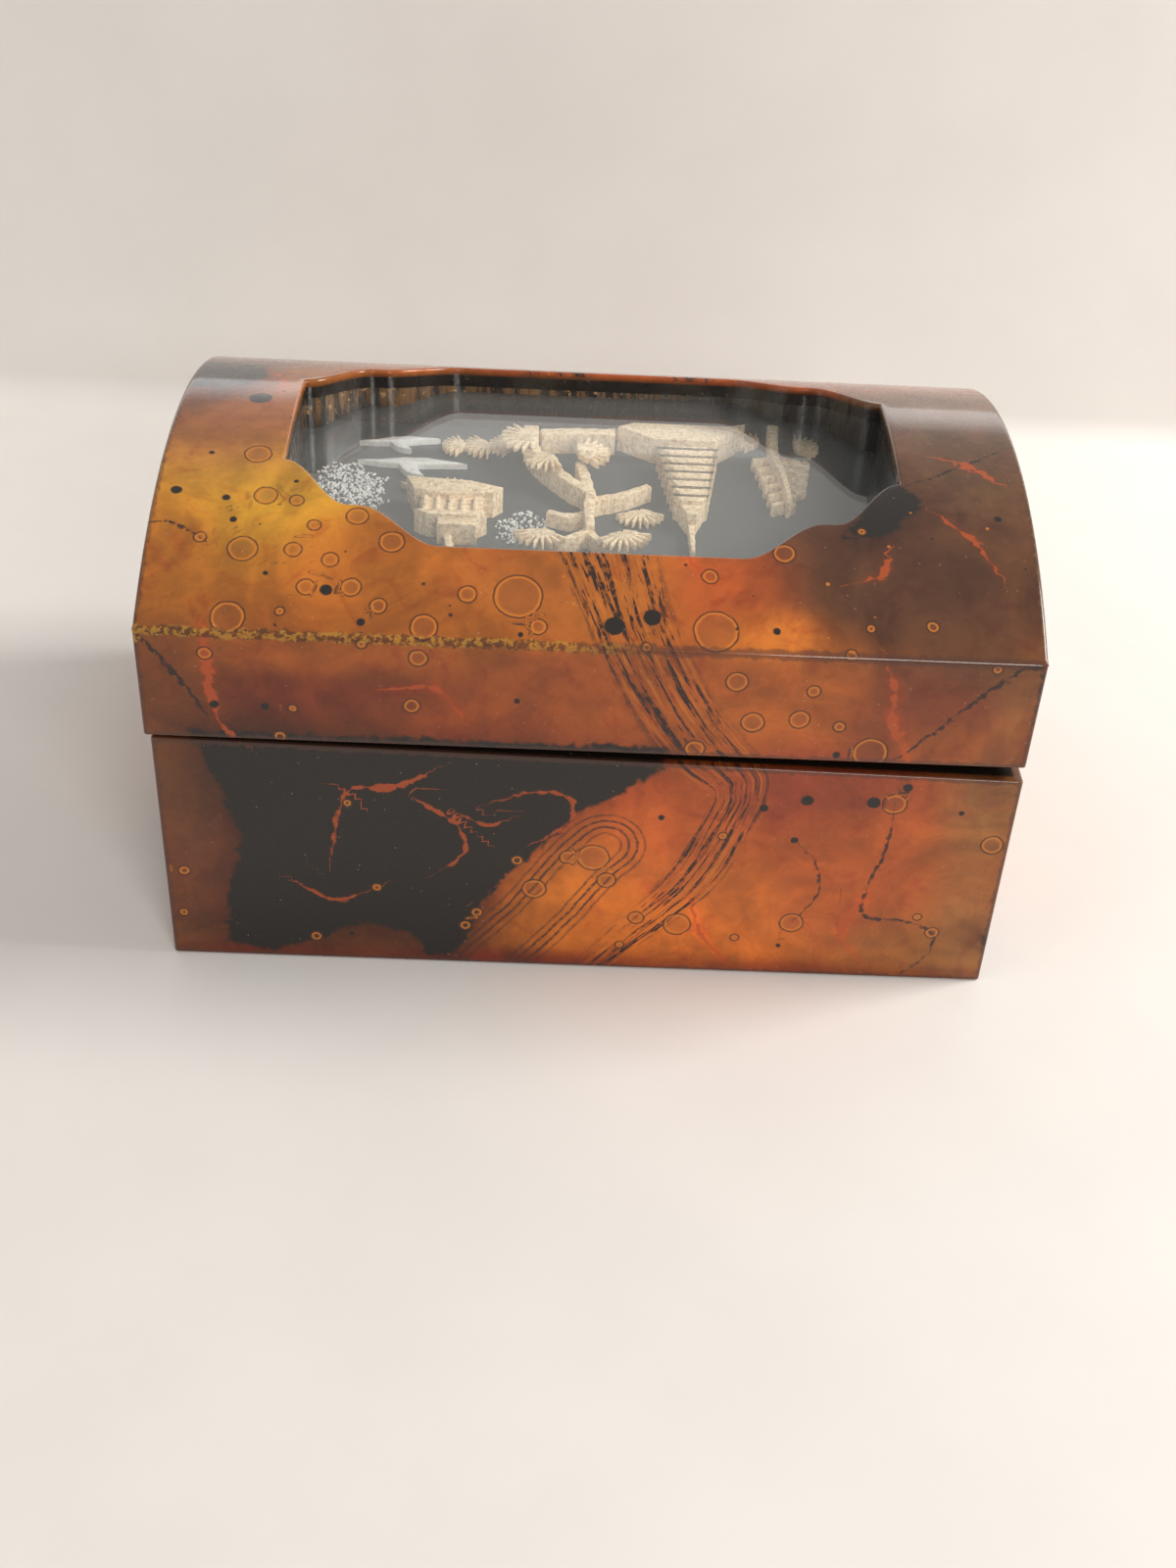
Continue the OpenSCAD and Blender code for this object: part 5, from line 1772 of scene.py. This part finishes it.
    def build_blossom(self) -> None:
        """Strews white beads over the ground, thick in the middle of each drift and thin round it."""
        drifts = []
        for (x, y), r in (((52, -10), 9.5), ((51, -9), 6.0), ((48, -3), 5.0), ((56, -16), 4.0),
                          ((14, 5), 6.5), ((17, 9), 3.6)):
            rim = [(x + r * math.cos(a) * (0.85 + 0.15 * math.sin(5 * a + x)),
                    y + r * math.sin(a) * (0.8 + 0.2 * math.cos(4 * a)))
                   for a in np.linspace(0, 2 * math.pi, 40, endpoint=False)]
            drifts.append(slab("drift", rim, 0.0, 0.12, 0))
        obj = joined("carved_blossom_beads", drifts)
        self.beads.apply(obj, Density=0.8e6, Radius=0.3 * MM, Seed=5, Material=self.bead)
        settle(self.placed(obj), Body.LID, "feather", "carved_blossom")


@dataclass
class Lining:
    """The velvet pads and the velvet-covered wall panels."""

    velvet: bpy.types.Material
    crown: float = 0.9

    def pad(self, node: str, body: Body, upward: bool) -> None:
        """Builds a crowned pad: flat where it rests, soft on the side that shows."""
        low, high = node_box(node)
        points, faces = rounded_block(low, high, (1.4, 1.4, 0.4 if upward else 1.3),
                                      (1.4, 1.4, 1.3 if upward else 0.4), 2.0)
        middle, half = (low + high) / 2, (high - low) / 2
        edge = np.minimum(half[0] - np.abs(points[:, 0] - middle[0]),
                          half[1] - np.abs(points[:, 1] - middle[1]))
        fall = self.crown * np.exp(-np.clip(edge, 0, None) / 7.0)
        sway = 1.3 * np.sin(points[:, 1] * 0.09)
        ripple = 0.12 * np.sin(points[:, 0] * 0.21 + sway) * (1 - np.exp(-edge / 5))
        share = (points[:, 2] - low[2]) / (high[2] - low[2])
        if upward:
            points[:, 2] -= share * (fall + 0.13 + ripple)
        else:
            points[:, 2] += (1 - share) * (fall + 0.13 + ripple)
        obj = mesh_object(node + "_crowned", points, faces)
        dress(obj, self.velvet)
        settle(obj, body, "velvet", node)

    def build(self) -> None:
        """Builds the pads and the panels."""
        self.pad("base_velvet_pad", Body.BASE, True)
        self.pad("lid_velvet_pad", Body.LID, False)
        for side in ("front", "back", "left", "right"):
            node = f"lining_{side}"
            low, high = node_box(node)
            points, faces = rounded_block(low, high, (0.45, 0.45, 0.3), (0.45, 0.45, 0.5), 2.0)
            obj = mesh_object(node + "_velvet", points, faces)
            dress(obj, self.velvet)
            settle(obj, Body.BASE, "velvet", node)


@dataclass
class Hinges:
    """The brass hinges and their slotted screws."""

    brass: bpy.types.Material
    head_r: float = 1.1
    shank_r: float = 0.5
    head_t: float = 0.8
    screw_l: float = 5.0
    tree: GeometryTree = field(default_factory=screw_tree)

    def build(self) -> None:
        """Dresses the leaves and pins and sets the screws."""
        for side in ("left", "right"):
            for part in ("hinge_leaf_base", "hinge_leaf_lid", "hinge_pin"):
                dress(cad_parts[f"{part}_{side}"], self.brass)
        for node, body, way in (("base_hinge_screws", Body.BASE, 1.0), ("lid_hinge_screws", Body.LID, -1.0)):
            cad = node_points(node)
            face_z = cad[:, 2].max() if way > 0 else cad[:, 2].min()
            heads = cad[np.abs(cad[:, 2] - face_z) < 0.02]
            places = []
            for x in sorted(heads[:, 0]):
                if not places or x - places[-1][-1] > 2.5:
                    places.append([])
                places[-1].append(x)
            y = (heads[:, 1].min() + heads[:, 1].max()) / 2
            mesh = bpy.data.meshes.new(node + "_slotted")
            mesh.from_pydata([((min(p) + max(p)) / 2 * MM, y * MM, face_z * MM) for p in places], [], [])
            obj = add_object(node + "_slotted", mesh)
            self.tree.apply(
                obj, Way=way, Head=self.head_r * MM, Shank=self.shank_r * MM,
                Sink=self.head_t * MM, Length=self.screw_l * MM, Material=self.brass,
            )
            outward(obj)
            sharpen(obj, 30)
            settle(obj, body, "brass", node)


@dataclass
class Studio:
    """Pale table and backdrop, soft lamps and the camera."""

    lens: float = 43.92
    eye: tuple[float, float, float] = (-9.0, -356.8, 274.7)
    pitch: float = 37.13
    yaw: float = 1.69
    roll: float = -3.19
    wall_y: float = 196.0
    wall_top: float = 178.0

    def build(self) -> None:
        """Builds the whole studio."""
        self.build_table()
        self.build_lamps()
        self.build_world()
        self.build_camera()
        view = bpy.context.scene.view_settings
        view.view_transform = "Standard"

    def build_table(self) -> None:
        """A table and a low backdrop in one bent sheet."""
        profile = [(-2600.0, -0.05), (self.wall_y - 9, -0.05)]
        for turn in np.linspace(0, math.pi / 2, 9)[1:]:
            profile.append((self.wall_y - 9 + 9 * math.sin(turn), 8.95 - 9 * math.cos(turn)))
        profile.append((self.wall_y + 2, self.wall_top))
        points, faces = [], []
        for x in (-1500.0, 1500.0):
            points += [(x, y, z) for y, z in profile]
        n = len(profile)
        faces = [(i, n + i, n + i + 1, i + 1) for i in range(n - 1)]
        sheet = mesh_object("table_and_backdrop", np.array(points), faces)
        material, w, shader = new_material("pale_board")
        at = w.millimetres()
        tone = w.noise(at, 0.02, 4.0)
        w.feed(shader.inputs["Base Color"], w.mix(w.span(tone, 0.3, 0.7), (0.80, 0.770, 0.735),
                                                  (0.83, 0.80, 0.765)))
        shader.inputs["Roughness"].default_value = 0.6
        w.feed(shader.inputs["Normal"], w.bump(w.noise(at, 0.5, 5.0), 0.1, 0.1))
        behind = w.add("ShaderNodeNewGeometry").outputs["Backfacing"]
        clear = w.add("ShaderNodeBsdfTransparent").outputs[0]
        seen = w.add("ShaderNodeMixShader", {0: behind, 1: shader.outputs[0], 2: clear}).outputs[0]
        w.feed(material.node_tree.nodes["Material Output"].inputs["Surface"], seen)
        dress(sheet, material)

    def build_lamps(self) -> None:
        """A large key from the right, softer lamps in front and at the left, and three strips behind."""
        for name, place, aim, size, power, tone in (
            ("key", (760, 60, 700), (0, 0, 40), (340, 340), 7.9, (1.0, 0.97, 0.93)),
            ("front", (300, -900, 620), (0, 0, 30), (300, 300), 3.4, (1.0, 0.98, 0.95)),
            ("fill", (-700, -420, 420), (0, 0, 40), (420, 420), 1.0, (0.96, 0.98, 1.0)),
            ("window_low", (0, self.wall_y - 12, 138), (0, 0, 130), (520, 24), 0.055, (0.97, 0.98, 1.0)),
            ("window_mid", (0, self.wall_y - 12, 156), (0, 0, 146), (520, 12), 0.020, (0.97, 0.98, 1.0)),
            ("window_high", (0, self.wall_y - 12, 168), (0, 0, 158), (520, 12), 0.010, (0.97, 0.98, 1.0)),
        ):
            lamp = bpy.data.lights.new(name, "AREA")
            lamp.shape, lamp.energy, lamp.color = "RECTANGLE", power, tone
            lamp.size, lamp.size_y = size[0] * MM, size[1] * MM
            obj = bpy.data.objects.new(name, lamp)
            obj.location = Vector(place) * MM
            obj.rotation_euler = (Vector(aim) * MM - obj.location).to_track_quat("-Z", "Y").to_euler()
            obj.visible_camera = False
            bpy.context.scene.collection.objects.link(obj)

    def build_world(self) -> None:
        """An even room, brighter where it is seen directly, mirrored or through glass."""
        world = bpy.data.worlds.new("room")
        bpy.context.scene.world = world
        world.use_nodes = True
        w = Wiring(world.node_tree)
        ground = world.node_tree.nodes["Background"]
        ray = w.add("ShaderNodeLightPath").outputs
        seen = w.math("MAXIMUM", ray["Is Camera Ray"], ray["Is Glossy Ray"])
        seen = w.math("MAXIMUM", seen, ray["Is Transmission Ray"])
        w.feed(ground.inputs["Color"], w.mix(seen, (0.36, 0.35, 0.335), (0.72, 0.69, 0.65)))
        w.feed(ground.inputs["Strength"], 1.0)

    def build_camera(self) -> None:
        """The camera at the viewing place."""
        camera = bpy.data.cameras.new("camera")
        camera.lens = self.lens
        camera.sensor_width = 36.0
        camera.clip_start = 0.01
        obj = bpy.data.objects.new("camera", camera)
        p, a, r = (math.radians(v) for v in (self.pitch, self.yaw, self.roll))
        forward = Vector((math.sin(a) * math.cos(p), math.cos(a) * math.cos(p), -math.sin(p)))
        right = Vector((math.cos(a), -math.sin(a), 0))
        down = forward.cross(right)
        right, down = math.cos(r) * right + math.sin(r) * down, -math.sin(r) * right + math.cos(r) * down
        turn = Matrix((right, -down, -forward)).transposed()
        obj.matrix_world = Matrix.Translation(Vector(self.eye) * MM) @ turn.to_4x4()
        bpy.context.scene.collection.objects.link(obj)
        bpy.context.scene.camera = obj


def main() -> None:
    """Builds every sub-assembly in order."""
    logging.basicConfig(level=logging.INFO, format="%(message)s")
    sizes = BoxSizes.from_frame()
    pattern = Pattern(sizes)
    lacquer = TortoiseLacquer().material()
    black = BlackLacquer().material()
    carcass = Carcass(sizes, pattern, lacquer)
    carcass.build()
    window = Cartouche(sizes.lid_mid_x - 0.7, -1.0)
    ArchedTop(sizes, carcass, black, window).build(pattern, lacquer)
    cork = CarvedCork().material()
    card = CarvedCork("white_card", (0.82, 0.82, 0.79), (0.62, 0.63, 0.62), 0.3).material()
    Picture(sizes, cork, card, card).build()
    Lining(Velvet().material()).build()
    Hinges(OldBrass().material()).build()
    dress(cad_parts["window_glass"], DustyGlassWithPaintedReflection().material())
    dress(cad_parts["picture_backing"], Slate().material())
    for node in ("base_floor_board", *(f"picture_strip_{s}" for s in ("front", "back", "left", "right"))):
        dress(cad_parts[node], black)
    Studio().build()


if __name__ == "__main__":
    main()
